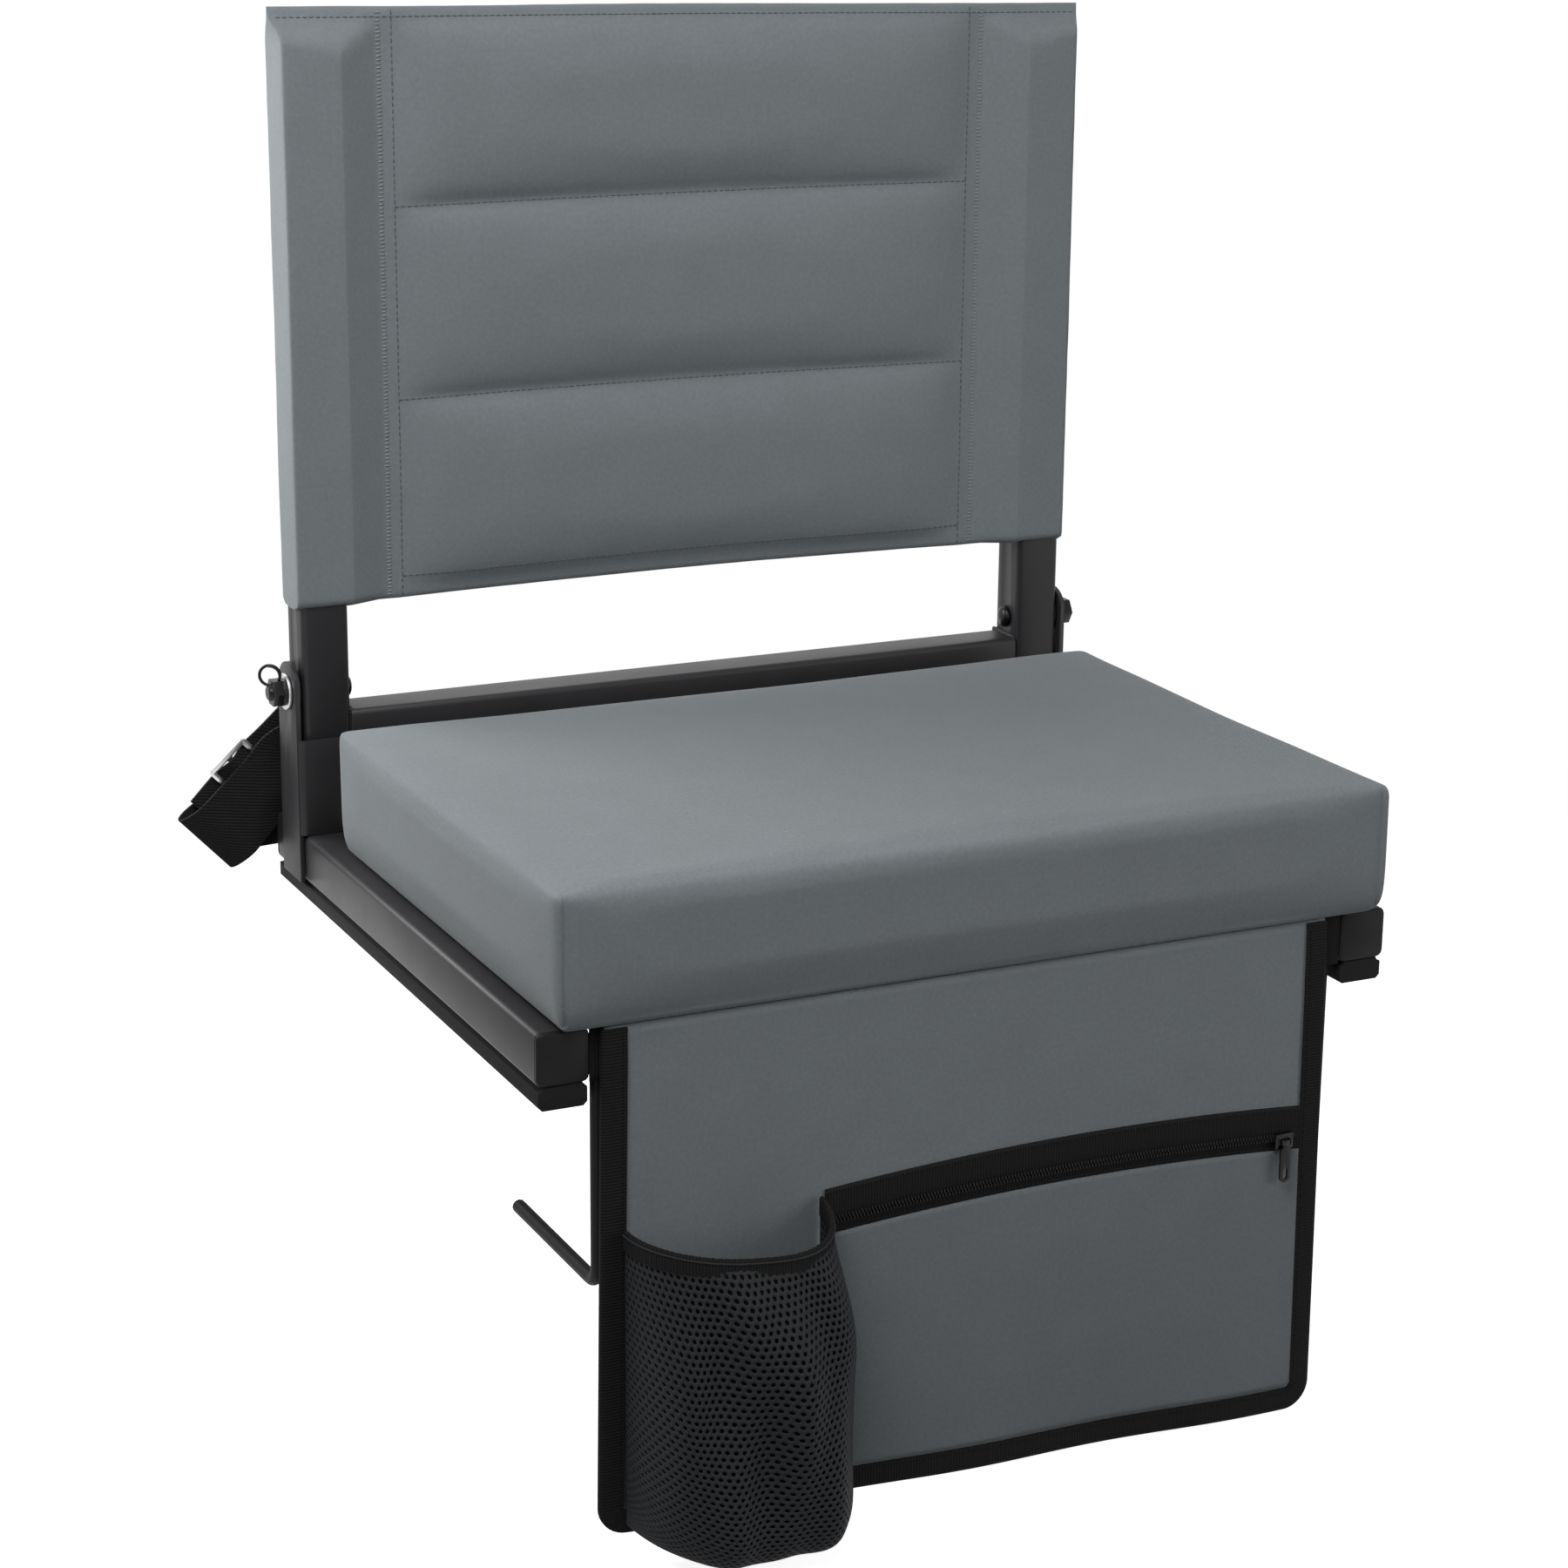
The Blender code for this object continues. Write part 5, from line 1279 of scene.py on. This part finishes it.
def flap_side(flap, sign, z):
    """The flap's left (-1) or right (+1) edge at a level."""
    extra = flap.right_reach if sign > 0 else 0.0
    return HEM.x + sign * (flap.width / 2 + extra + flap.flare * (HEM.z - z) / flap.drop)


def flap_depth(flap, x, z):
    """Where the middle of the flap's cloth lies: flat down to the zip, then in soft upright folds."""
    zip_bottom = box("zip_tape")[0].z
    drop = (zip_bottom - z) / (zip_bottom - flap_bottom(flap, x))
    swell = min(1.0, max(0.0, drop)) ** 2
    return HEM.y - flap.fold_depth * swell * math.cos(2 * math.pi * (x - HEM.x) / flap.fold_spacing)


def flap_edge(flap, inset, start):
    """Points 4 mm apart, down the left edge, round the lower corners and up the right edge.

    They lie inset from the edge and start that far below the hem.
    """
    top = HEM.z - start
    spacing = 4 * MM
    corner = flap.corner - inset
    sides = []
    for sign in (-1, 1):
        corner_z = flap_bottom(flap, flap_side(flap, sign, HEM.z - flap.drop)) + flap.corner
        steps = round((top - corner_z) / spacing)
        side = []
        for step in range(steps + 1):
            z = top + (corner_z - top) * step / steps
            side.append((flap_side(flap, sign, z) - sign * inset, z))
        centre = flap_side(flap, sign, corner_z) - sign * flap.corner
        turns = 9
        for step in range(1, turns + 1):
            turn = math.pi / 2 * step / turns
            side.append((centre + sign * corner * math.cos(turn), corner_z - corner * math.sin(turn)))
        sides.append(side)
    left, right = sides
    steps = 90
    bottom = [Vector(left[-1]).lerp(Vector(right[-1]), step / steps) for step in range(1, steps)]
    return [Vector(point) for point in left + bottom + right[::-1]]


class CHAIR_OT_front_flap(Operator):
    """Hang the front flap and bind its three free edges with folded tape"""

    bl_idname = "chair.front_flap"
    bl_label = "Front flap"

    def execute(self, context):
        flap = context.scene.chair_flap
        panel = self.panel(flap)
        place_piece(panel, "woven_polyester", "flap", "grey_polyester", "flap_panel")
        binding = self.binding(flap)
        place_piece(binding, "edge_tape", "flap", "black_binding", "flap_binding")
        rows = self.rows(flap)
        place_piece(rows, "tape_thread", "flap", "black_binding")
        tabs = [self.tab(flap, side, sign) for side, sign in SIDES]
        return {'FINISHED'}

    def tab(self, flap, side, sign):
        """A short tape sewn behind each upper corner, which closes the gap beside the rail's plug."""
        rail = box(side + "_rail")
        gap = rail[1].x if sign < 0 else rail[0].x
        lap = 8 * MM
        above_hem = 1.4 * MM
        tall = 25.4 * MM
        outer = gap - sign * TOUCH
        inner = flap_side(flap, sign, HEM.z) - sign * lap
        y = HEM.y + flap.thickness / 2 + flap.slack + 2 * flap.tape
        top = HEM.z + above_hem

        def place(across, down):
            return Vector((outer + (inner - outer) * across, y, top - tall * down))

        tape = cloth_over(side + "_hem_tab", 4, 8, place, flap.tape)
        return place_piece(tape, "edge_tape", "flap", "black_binding")

    def panel(self, flap):
        """The flap's cloth, whose lower corners are cut round to lie inside the tape."""
        margin = flap.tape + flap.slack
        corner = flap.corner - margin
        top = HEM.z + flap.thickness

        def place(across, down):
            bottom = flap_bottom(flap, HEM.x + (across - 0.5) * flap.width) + margin
            z = top + (bottom - top) * down ** 0.95
            height = max(0.0, corner - (z - bottom))
            pull = corner - math.sqrt(max(0.0, corner ** 2 - height ** 2))
            left = flap_side(flap, -1, z) + margin + pull
            right = flap_side(flap, 1, z) - margin - pull
            x = left + (right - left) * across
            wrinkle = 0.25 * MM * ripple((x, z, 0), 24 * MM, 4.2)
            return Vector((x, flap_depth(flap, x, z) + wrinkle, z))

        return cloth_over("hung_flap", 96, 62, place, flap.thickness)

    def binding(self, flap):
        """The tape folded over the edge, as a closed section swept along it from just above the hem."""
        above_hem = -0.6 * MM
        outer = flap_edge(flap, 0.0, above_hem)
        inner = flap_edge(flap, flap.binding, above_hem)
        fold = flap.tape / flap.binding
        rows = []
        for edge_point, inner_point in zip(outer, inner):
            wall = self.wall(flap, edge_point.y)
            face = wall + flap.tape
            half = [(1, wall), (1, face), (0.55, face), (2.2 * fold, face), (0.6 * fold, 0.75 * face),
                    (0, 0.3 * face)]
            section = [(share, -offset) for share, offset in half] + half[::-1]
            section += [(fold, wall), (fold, -wall)]
            row = []
            for share, offset in section:
                place = edge_point.lerp(inner_point, share)
                row.append(Vector((place.x, flap_depth(flap, *place) + offset, place.y)))
            rows.append(row)
        return closed_tape(woven_grid("folded_flap_binding", rows, wrap=True))

    def wall(self, flap, z):
        """From the cloth's middle to the tape, which the hem seam presses flat under the cushion."""
        loose = min(1.0, max(0.15, (HEM.z - z) / (14 * MM)))
        return flap.thickness / 2 + flap.slack * loose

    def rows(self, flap):
        """One row of stitches near the inner edge of the tape, front and rear."""
        from_edge = flap.binding - 2 * MM
        below_hem = 4 * MM
        lines = []
        for facing in (-1, 1):
            line = []
            for place in flap_edge(flap, from_edge, below_hem):
                stand = self.wall(flap, place.y) + flap.tape
                line.append((place.x, flap_depth(flap, *place) + facing * stand, place.y))
            lines.append(line)
        return stitches("binding_stitches", lines, "tape_thread")


class CHAIR_OT_zip_pocket(Operator):
    """Sew the zip pocket: its cloth, the tape, the coil's teeth, the slider and the puller"""

    bl_idname = "chair.zip_pocket"
    bl_label = "Zip pocket"

    def execute(self, context):
        flap = context.scene.chair_flap
        low, high = box("zip_tape")
        high.x = flap_side(flap, 1, low.z) - flap.binding + 2 * MM
        pocket = self.pocket(flap, low, high)
        # The pocket's cloth is the grey cloth painted darker, as shade
        place_piece(pocket, "pocket_polyester", "flap", "grey_polyester", "zip_pocket_panel")
        tape = self.tape(flap, low, high)
        place_piece(tape, "edge_tape", "flap", "black_binding", "zip_tape")
        teeth = self.teeth(flap, low, high)
        place_piece(teeth, "coil_nylon", "flap", "black_nylon", "zip_coil")
        rows = self.rows(flap, low, high)
        place_piece(rows, "tape_thread", "flap", "black_binding")
        pocket_low, pocket_high = box("zip_pocket_panel")
        for node in ("zip_slider", "zip_puller"):
            dressed(node, "black_zinc", 0.25 * MM)
        return {'FINISHED'}

    def bowed(self, flap, low, high, point):
        """Raise a point with the soft zip, which keeps still at its ends, where the slider stops."""
        share = min(1.0, max(0.0, (point[0] - low.x) / (high.x - low.x)))
        return Vector(point) + Vector((0, 0, flap.zip_bow * 4 * share * (1 - share)))

    def pocket(self, flap, low, high):
        """The pocket's cloth from the zip down to the binding, a little puffed, with its corner cut round."""
        thick = high.y - low.y
        layer = flap.thickness / 2 + TOUCH + thick / 2

        def place(across, down):
            x = low.x + (high.x - low.x) * across
            bottom = flap_bottom(flap, x) + flap.binding + 2 * TOUCH
            top = self.bowed(flap, low, high, (x, 0, low.z - TOUCH)).z
            z = top + (bottom - top) * down
            x -= max(0.0, flap.corner - flap.binding - (z - bottom)) * across ** 6
            full = math.sin(math.pi * across) ** 0.7 * math.sin(math.pi * down) ** 0.7
            wrinkle = 0.5 + 0.5 * ripple((x, 0, z), 30 * MM, 8.3)
            y = flap_depth(flap, x, z) - layer - full * (1.2 + 1.2 * wrinkle) * MM
            return Vector((x, y, z))

        return cloth_over("sewn_zip_pocket", 84, 44, place, thick)

    def line(self, flap, low, high, start, end):
        """A line of points that bows with the zip."""
        return [self.bowed(flap, low, high, point) for point in straight(start, end, 80)]

    def tape(self, flap, low, high):
        """The woven tape that carries the coil."""
        middle = (low.y + high.y) / 2
        rows = []
        for level in straight((0, 0, high.z), (0, 0, low.z), 9):
            rows.append(self.line(flap, low, high, (low.x, middle, level.z), (high.x, middle, level.z)))
        return thickened(woven_grid("woven_zip_tape", rows), high.y - low.y)

    def teeth(self, flap, low, high):
        """Two rows of teeth, set half a tooth apart."""
        coil_low, coil_high = box("zip_coil")
        middle = (coil_low + coil_high) / 2
        tall = coil_high.z - coil_low.z
        deep = coil_high.y - coil_low.y
        inset = TOUCH + 0.5 * MM
        lines = []
        for sign in (-1, 1):
            shift = 0.25 * flap.tooth_spacing * sign
            z = middle.z + sign * 0.2 * tall
            start = (coil_low.x + inset + shift, middle.y, z)
            end = (coil_high.x - inset + shift, middle.y, z)
            lines.append(self.line(flap, low, high, start, end))
        size = (0.6 * tall, deep, 0.62 * flap.tooth_spacing)
        return beads("zip_teeth", lines, flap.tooth_spacing, size, "coil_nylon")

    def rows(self, flap, low, high):
        """A row of stitches along each edge of the tape."""
        inset = 2 * MM
        lines = []
        for z in (high.z - inset, low.z + inset):
            start = (low.x + inset, low.y, z)
            lines.append(self.line(flap, low, high, start, (high.x - inset, low.y, z)))
        return stitches("zip_stitches", lines, "tape_thread")


class CHAIR_OT_bottle_net(Operator):
    """Knit the bottle pocket from a net of six-sided holes and bind its mouth"""

    bl_idname = "chair.bottle_net"
    bl_label = "Bottle net"

    def execute(self, context):
        net = context.scene.chair_net
        flap = context.scene.chair_flap
        pocket = self.mesh_pocket(net, flap)
        place_piece(pocket, "knitted_net", "flap", "black_net", "bottle_pocket")
        rim = self.rim(net, flap)
        place_piece(rim, "edge_tape", "flap", "black_binding", "bottle_pocket_rim")
        welt = self.welt(net, flap)
        place_piece(welt, "knitted_net", "flap", "black_binding")
        # Painted shade: a black sheet behind the net stands for the dark inside the pocket
        shade_sheet = self.shade_sheet(net, flap)
        place_piece(shade_sheet, "net_lining", "flap", "black_net")
        return {'FINISHED'}

    def shade_sheet(self, net, flap):
        """A thin black sheet just behind the net, painted shade for the dark inside the pocket, so that no
        flap shows through its holes.
        """
        thickness = 0.4 * MM
        behind = Vector((0, 1.1 * MM, thickness))

        def place(across, down):
            return self.place(net, flap, across, down) + behind

        return cloth_over("net_lining_cloth", 60, 70, place, thickness)

    def welt(self, net, flap):
        """A fine cord under the upper edge of the mouth's band."""
        radius = 0.45 * MM
        stand = 1.4 * MM
        rise = Vector((0, 0, 2.4 * MM))
        path = []
        for step in range(MOUTH_STEPS + 1):
            place, out = self.mouth(net, flap, step / MOUTH_STEPS)
            path.append(place + out * stand + rise)
        return tube_along("net_rim_welt", path, radius, 8)

    def mouth(self, net, flap, share):
        """A point of the mouth's line and the level direction that faces out from it."""
        reach = 0.01
        place = self.place(net, flap, share, 0.0)
        after = self.place(net, flap, min(1.0, share + reach), 0.0)
        before = self.place(net, flap, max(0.0, share - reach), 0.0)
        along = (after - before).normalized()
        return place, Vector((along.y, -along.x, 0)).normalized()

    def opened(self, down):
        """How far the pocket has opened below its mouth, from nought to one."""
        fully_open = 0.4
        return math.sin(math.pi / 2 * min(1.0, down / fully_open))

    def stand(self, net, across, down):
        """How far the pocket stands out, as a share of its depth."""
        curved = max(0.0, (down - net.straight) / (1 - net.straight))
        wide = max(0.0, 1 - abs(2 * across - 1) ** net.squareness) ** 0.5
        low = max(0.0, 1 - curved ** net.squareness) ** 0.5
        return wide * low * (net.mouth + (1 - net.mouth) * self.opened(down))

    def place(self, net, flap, across, down):
        """A point of the pocket, from shares of its width and height."""
        across = 0.5 - 0.5 * math.cos(math.pi * across)
        down = math.sin(math.pi / 2 * down)
        stand = self.stand(net, across, down)
        back = flap.thickness / 2 + flap.slack + flap.tape + TOUCH + net.strand
        x = net.left + net.width * across + net.bulge * stand * across * self.opened(down)
        rim = box("bottle_pocket_rim")[0].z
        bottom = flap_bottom(flap, x) + flap.binding / 2
        z = rim + (bottom - rim) * down
        folds = math.sin(4 * math.pi * across - 5 * down) + 0.4 * math.sin(9 * math.pi * across + 4 * down)
        fold_depth = 5.0 * MM
        crease = fold_depth * folds * stand * math.sin(math.pi * down) ** 0.5
        y = flap_depth(flap, x, z) - back - net.depth * stand + crease
        dip = net.dip * stand * across * (1 - down) ** 2
        return Vector((x, y, z - dip - net.sag * stand * down ** 2))

    def mesh_pocket(self, net, flap):
        """The net: six-sided cells over the whole pocket, each with a hole in it."""
        columns = round(NET_KNIT[0] / net.hole_pitch)
        step_x = 1 / columns
        count = round(NET_KNIT[1] / (net.hole_pitch * math.sqrt(3) / 2))
        step_y = 1 / count
        turns = [math.radians(60 * side + 30) for side in range(6)]
        corner = [(math.cos(turn), math.sin(turn)) for turn in turns]
        body = bmesh.new()
        known = {}
        for j in range(count + 1):
            for i in range(columns + 1):
                centre_x = (i + 0.5 * (j % 2)) * step_x
                if centre_x > 1.0:
                    continue
                loop = []
                for cos, sin in corner:
                    a = centre_x + cos * step_x / math.sqrt(3)
                    d = j * step_y + sin * step_y * 2 / 3
                    a = min(1.0, max(0.0, a))
                    d = min(1.0, max(0.0, d))
                    key = (round(a, 4), round(d, 4))
                    if key not in known:
                        known[key] = body.verts.new(self.place(net, flap, a, d))
                    if known[key] not in loop:
                        loop.append(known[key])
                if len(loop) > 2 and not body.faces.get(loop):
                    body.faces.new(loop)
        mesh = mesh_of(body, "bottle_net")
        values = {"Hole": net.hole, "Material": finish_named("knitted_net")}
        pocket = thickened(grown("knitted_bottle_net", mesh, net_tree(), values), net.strand)
        pocket.data.shade_smooth()
        return pocket

    def rim(self, net, flap):
        """The band folded over the net's mouth, gathered a little."""
        wall = 1.3 * MM
        rise = 4.2 * MM
        gathers = 46
        gather_depth = 0.25 * MM
        rows = []
        for step in range(MOUTH_STEPS + 1):
            share = step / MOUTH_STEPS
            place, out = self.mouth(net, flap, share)
            gather = gather_depth * math.sin(2 * math.pi * share * gathers)
            top = place.z + rise
            low = top - net.rim_height
            row = []
            for depth, z in ((wall, low), (wall, top - MM), (0.5 * wall, top), (-0.5 * wall, top),
                             (-wall, top - MM), (-wall, low)):
                row.append(Vector((place.x, place.y, z)) + out * (depth + gather))
            rows.append(row)
        return closed_tape(woven_grid("folded_net_rim", rows, wrap=True))


class CHAIR_OT_carry_strap(Operator):
    """Thread the carrying strap from the bar through its slide, round the fold and behind the seat"""

    bl_idname = "chair.carry_strap"
    bl_label = "Carrying strap"

    def execute(self, context):
        strap = context.scene.chair_strap
        half = self.stations(strap)
        whole = half + [(Vector((-m.x, m.y, m.z)), Vector((-w.x, w.y, w.z))) for m, w in half[-2::-1]]
        band = self.webbing("woven_carry_strap", strap, whole)
        place_piece(band, "strap_webbing", "back", "black_webbing", "carry_strap")
        loop = self.webbing("woven_slide_loop", strap, self.loop_stations(strap))
        place_piece(loop, "strap_webbing", "back", "black_webbing")
        slide = dressed("strap_slide", "zinc_plate", 0.5 * MM)
        rivets = self.rivets(strap, half)
        line = running_lengths([middle for middle, wide in whole])
        line = running_lengths([middle for middle, wide in self.loop_stations(strap)])
        return {'FINISHED'}

    def webbing(self, name, strap, stations):
        """A band of webbing through stations, each a middle and a direction across it."""
        rows = []
        for middle, wide in stations:
            edge = wide.normalized() * strap.width / 2
            rows.append([self.eased(strap, point) for point in straight(middle - edge, middle + edge, 7)])
        band = woven_grid(name, rows)
        turn_weave(band.data)
        return crisp(thickened(smoothed(band, 2), strap.thickness))

    def eased(self, strap, point):
        """Bend the webbing back where its edge meets a rail's rear plug."""
        low, high = box("left_rear_plug")
        room = 4 * strap.thickness
        beside = low.x - room < -abs(point.x) < high.x + room
        if beside and point.z < high.z + room:
            point.y = max(point.y, high.y + strap.thickness)
        return point

    def lay(self, strap):
        """The points that the strap's runs share: the bar, the fold, the slide and the strap's directions."""
        low, high = box("back_cross_bar")
        bar = Vector((0, high.y, (low.z + high.z) / 2))
        run_y = box("left_rear_plug")[1].y + TOUCH + strap.thickness
        side = box("left_rail")[0].x
        fold = Vector((side - strap.fold_out, run_y, bar.z - strap.fold_drop))
        down = Vector((-0.73, 0, -0.684))
        across = Vector((0.684, 0, -0.73))
        slide = fold - down * strap.slide_from_fold
        return bar, fold, slide, down, across

    def stations(self, strap):
        """The left half: off the bar's rear, over the slide, round the fold and behind the seat."""
        bar, fold, slide, down, across = self.lay(strap)
        thick = strap.thickness
        flat = Vector((0.05, 0, -1))
        below_bar = 9 * MM
        held = bar + Vector((0, TOUCH + thick / 2, -below_bar))
        stations = [(held + Vector((x * MM, 0, 0)), flat) for x in BAR_STATIONS]
        leave = slide - down * 30 * MM
        leave.y = fold.y - 4 * MM
        stations.append((leave, Vector((0.72, 0, -0.69))))
        front = strap.slide_thickness / 2 + 1.5 * thick + 4 * TOUCH
        shift = across * 5 * MM
        for reach in SLIDE_STATIONS:
            stations.append((slide + down * reach * MM + shift - Vector((0, front, 0)), across))
        turn = thick + TOUCH
        stations.append((fold - down * turn + shift * 0.9, across))
        stations.append((fold + Vector((0, turn, 0)) + down * turn * 0.4 + shift * 0.6, across))
        stations.append((fold + Vector((0, 2 * turn, 0)) - down * turn + shift * 0.3, across))
        rear = fold.y + 2 * turn
        low = fold.z + 11 * MM
        stations.append((Vector((fold.x + 17 * MM, rear + turn, low - 2 * MM)), Vector((0.42, 0, -0.91))))
        stations.append((Vector((fold.x + 38 * MM, rear + 1.5 * turn, low)), Vector((0.14, 0, -0.99))))
        upright = Vector((0, 0, -1))
        for share in (0.55, 0.25, 0.0):
            stations.append((Vector((share * fold.x, rear + 2 * turn, low + 1 * MM)), upright))
        return stations

    def loop_stations(self, strap):
        """The short loop behind the strap that is woven through the slide's two slots."""
        bar, fold, slide, down, across = self.lay(strap)
        weave = 1.25 * ((strap.slide_thickness + strap.thickness) / 2 + TOUCH)
        pitch = strap.slide_bar + strap.slide_slot
        past_bar = strap.slide_bar / 2 + TOUCH
        stations = [(slide - down * 50 * MM, across), (slide - down * 22 * MM, across)]
        for bar_place, facing in ((-pitch, 1), (0, -1), (pitch, 1)):
            for reach in (-past_bar, past_bar):
                middle = slide + down * (bar_place + reach)
                middle.y += facing * weave
                stations.append((middle, across))
        stations.append((slide + down * 30 * MM, across))
        return stations

    def rivets(self, strap, half):
        """A domed rivet through each end of the strap into the bar's rear face."""
        radius = 5 * MM
        dome = 0.5
        rise = 4 * MM
        middle = half[1][0]
        made = []
        for side, sign in SIDES:
            body = bmesh.new()
            bmesh.ops.create_uvsphere(body, u_segments=24, v_segments=12, radius=radius)
            seat = Vector((sign * -middle.x, middle.y + strap.thickness / 2, middle.z + rise))
            for vertex in body.verts:
                vertex.co.y = max(0.0, vertex.co.y) * dome
                vertex.co += seat
            bmesh.ops.remove_doubles(body, verts=body.verts, dist=MERGE)
            rivet = linked(side + "_strap_rivet", mesh_of(body, "strap_rivet"))
            rivet.data.shade_smooth()
            made.append(place_piece(rivet, "black_zinc", "back", "zinc_plated_steel"))
        return made


# Stage

class CHAIR_OT_stage(Operator):
    """Lay the pale floor, light the studio and set the camera at the photograph's angle"""

    bl_idname = "chair.stage"
    bl_label = "Stage"

    def execute(self, context):
        stage = context.scene.chair_stage
        self.floor(context)
        self.sky(context, stage)
        target = Vector(stage.target)
        for name, place, size in LAMPS:
            lamp = bpy.data.lights.new(name + "_lamp", 'AREA')
            lamp.size = size
            lamp.energy = getattr(stage, name)
            holder = linked(name + "_lamp", lamp)
            holder.location = place
            holder.rotation_euler = (target - Vector(place)).to_track_quat('-Z', 'Y').to_euler()
        self.camera(context, stage, target)
        context.scene.view_settings.view_transform = 'Standard'
        return {'FINISHED'}

    def floor(self, context):
        """A wide pale floor just under the hanging pocket, white where nothing shades it."""
        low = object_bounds()[0].z - 2 * MM
        reach = 6.0
        body = bmesh.new()
        level = Matrix.Translation((0, 0, low))
        bmesh.ops.create_grid(body, x_segments=1, y_segments=1, size=reach, matrix=level)
        floor = linked("studio_floor", mesh_of(body, "studio_floor"))
        material = bpy.data.materials.new("matt_studio_floor")
        material.use_nodes = True
        tree = material.node_tree
        tree.nodes.clear()
        place = add(tree, 'ShaderNodeTexCoord').outputs["Object"]
        grain = add(tree, 'ShaderNodeTexNoise', {"Vector": place, "Scale": 1 / (300 * MM)})
        tone = toned(tree, context.scene.chair_colours.floor, grain, 0.98, 1.0)
        matt = add(tree, 'ShaderNodeBsdfDiffuse', {"Color": tone})
        glow = add(tree, 'ShaderNodeEmission', {"Color": WHITE, "Strength": 0.88})
        both = add(tree, 'ShaderNodeAddShader', {0: matt, 1: glow})
        dim = add(tree, 'ShaderNodeBsdfDiffuse', {"Color": DIM})
        far = add(tree, 'ShaderNodeVectorMath', {0: place}, operation='LENGTH').outputs["Value"]
        fade = add(tree, 'ShaderNodeMapRange', {"Value": far, "From Min": 0.4, "From Max": 1.2})
        white = add(tree, 'ShaderNodeEmission', {"Color": WHITE, "Strength": 1.0})
        both = add(tree, 'ShaderNodeMixShader', {0: fade, 1: both, 2: white})
        shown = add(tree, 'ShaderNodeMixShader', {0: self.seen(tree), 1: dim, 2: both})
        add(tree, 'ShaderNodeOutputMaterial', {"Surface": shown})
        floor.data.materials.append(material)
        floor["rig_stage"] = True

    def seen(self, tree):
        """One for a ray that the eye follows, by shine or glass too, and nought for any other."""
        rays = add(tree, 'ShaderNodeLightPath').outputs
        seen = rays["Is Camera Ray"]
        for kind in ("Is Glossy Ray", "Is Transmission Ray"):
            seen = add(tree, 'ShaderNodeMath', {0: seen, 1: rays[kind]}, operation='MAXIMUM')
        return seen

    def sky(self, context, stage):
        """An even white sky: white to the eye, and a plain fill for everything else."""
        world = bpy.data.worlds.new("studio_sky")
        world.use_nodes = True
        tree = world.node_tree
        tree.nodes.clear()
        seen = self.seen(tree)
        strength = add(tree, 'ShaderNodeMapRange', {"Value": seen, "To Min": stage.sky, "To Max": 1.0})
        light = add(tree, 'ShaderNodeBackground', {"Color": WHITE, "Strength": strength})
        add(tree, 'ShaderNodeOutputWorld', {"Surface": light})
        context.scene.world = world

    def camera(self, context, stage, target):
        """A camera at the photograph's angle, for a square picture."""
        turn = stage.azimuth
        rise = stage.elevation
        forward = Vector((math.sin(turn) * math.cos(rise), math.cos(turn) * math.cos(rise), -math.sin(rise)))
        right = Vector((math.cos(turn), -math.sin(turn), 0))
        up = right.cross(forward)
        tilted_right = math.cos(stage.roll) * right + math.sin(stage.roll) * up
        tilted_up = math.cos(stage.roll) * up - math.sin(stage.roll) * right
        data = bpy.data.cameras.new("photo_camera")
        data.sensor_width = 36.0
        data.lens = stage.lens
        data.clip_start = 0.05
        camera = linked("photo_camera", data)
        place = Matrix((tilted_right, tilted_up, -forward)).transposed().to_4x4()
        place.translation = target - forward * stage.distance
        camera.matrix_world = place
        context.scene.camera = camera


class CHAIR_PT_panel(Panel):
    """Lists the steps that dress the chair"""

    bl_idname = "CHAIR_PT_panel"
    bl_label = "Stadium chair"
    bl_space_type = 'VIEW_3D'
    bl_region_type = 'UI'
    bl_category = "Chair"

    def draw(self, context):
        for step in STEPS:
            self.layout.operator(step.bl_idname)


GROUPS = (("chair_colours", ChairColours), ("chair_thread", ThreadSizes), ("chair_steel", SteelSizes),
          ("chair_sling", SlingSizes), ("chair_cushion", CushionSizes), ("chair_flap", FlapSizes),
          ("chair_net", NetSizes), ("chair_strap", StrapSizes), ("chair_stage", StageSizes))
STEPS = (CHAIR_OT_steel_frame, CHAIR_OT_plugs_and_feet, CHAIR_OT_hinge_hardware, CHAIR_OT_bench_hooks,
         CHAIR_OT_seat_board, CHAIR_OT_seat_cushion, CHAIR_OT_back_sling, CHAIR_OT_front_flap,
         CHAIR_OT_zip_pocket, CHAIR_OT_bottle_net, CHAIR_OT_carry_strap, CHAIR_OT_stage)


def register():
    for name, group in GROUPS:
        bpy.utils.register_class(group)
        setattr(bpy.types.Scene, name, PointerProperty(type=group))
    for step in STEPS:
        bpy.utils.register_class(step)
    bpy.utils.register_class(CHAIR_PT_panel)


def unregister():
    bpy.utils.unregister_class(CHAIR_PT_panel)
    for step in reversed(STEPS):
        bpy.utils.unregister_class(step)
    for name, group in reversed(GROUPS):
        delattr(bpy.types.Scene, name)
        bpy.utils.unregister_class(group)


def main():
    register()
    for step in STEPS:
        area, action = step.bl_idname.split(".")
        getattr(getattr(bpy.ops, area), action)()
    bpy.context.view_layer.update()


if __name__ == "__main__":
    main()
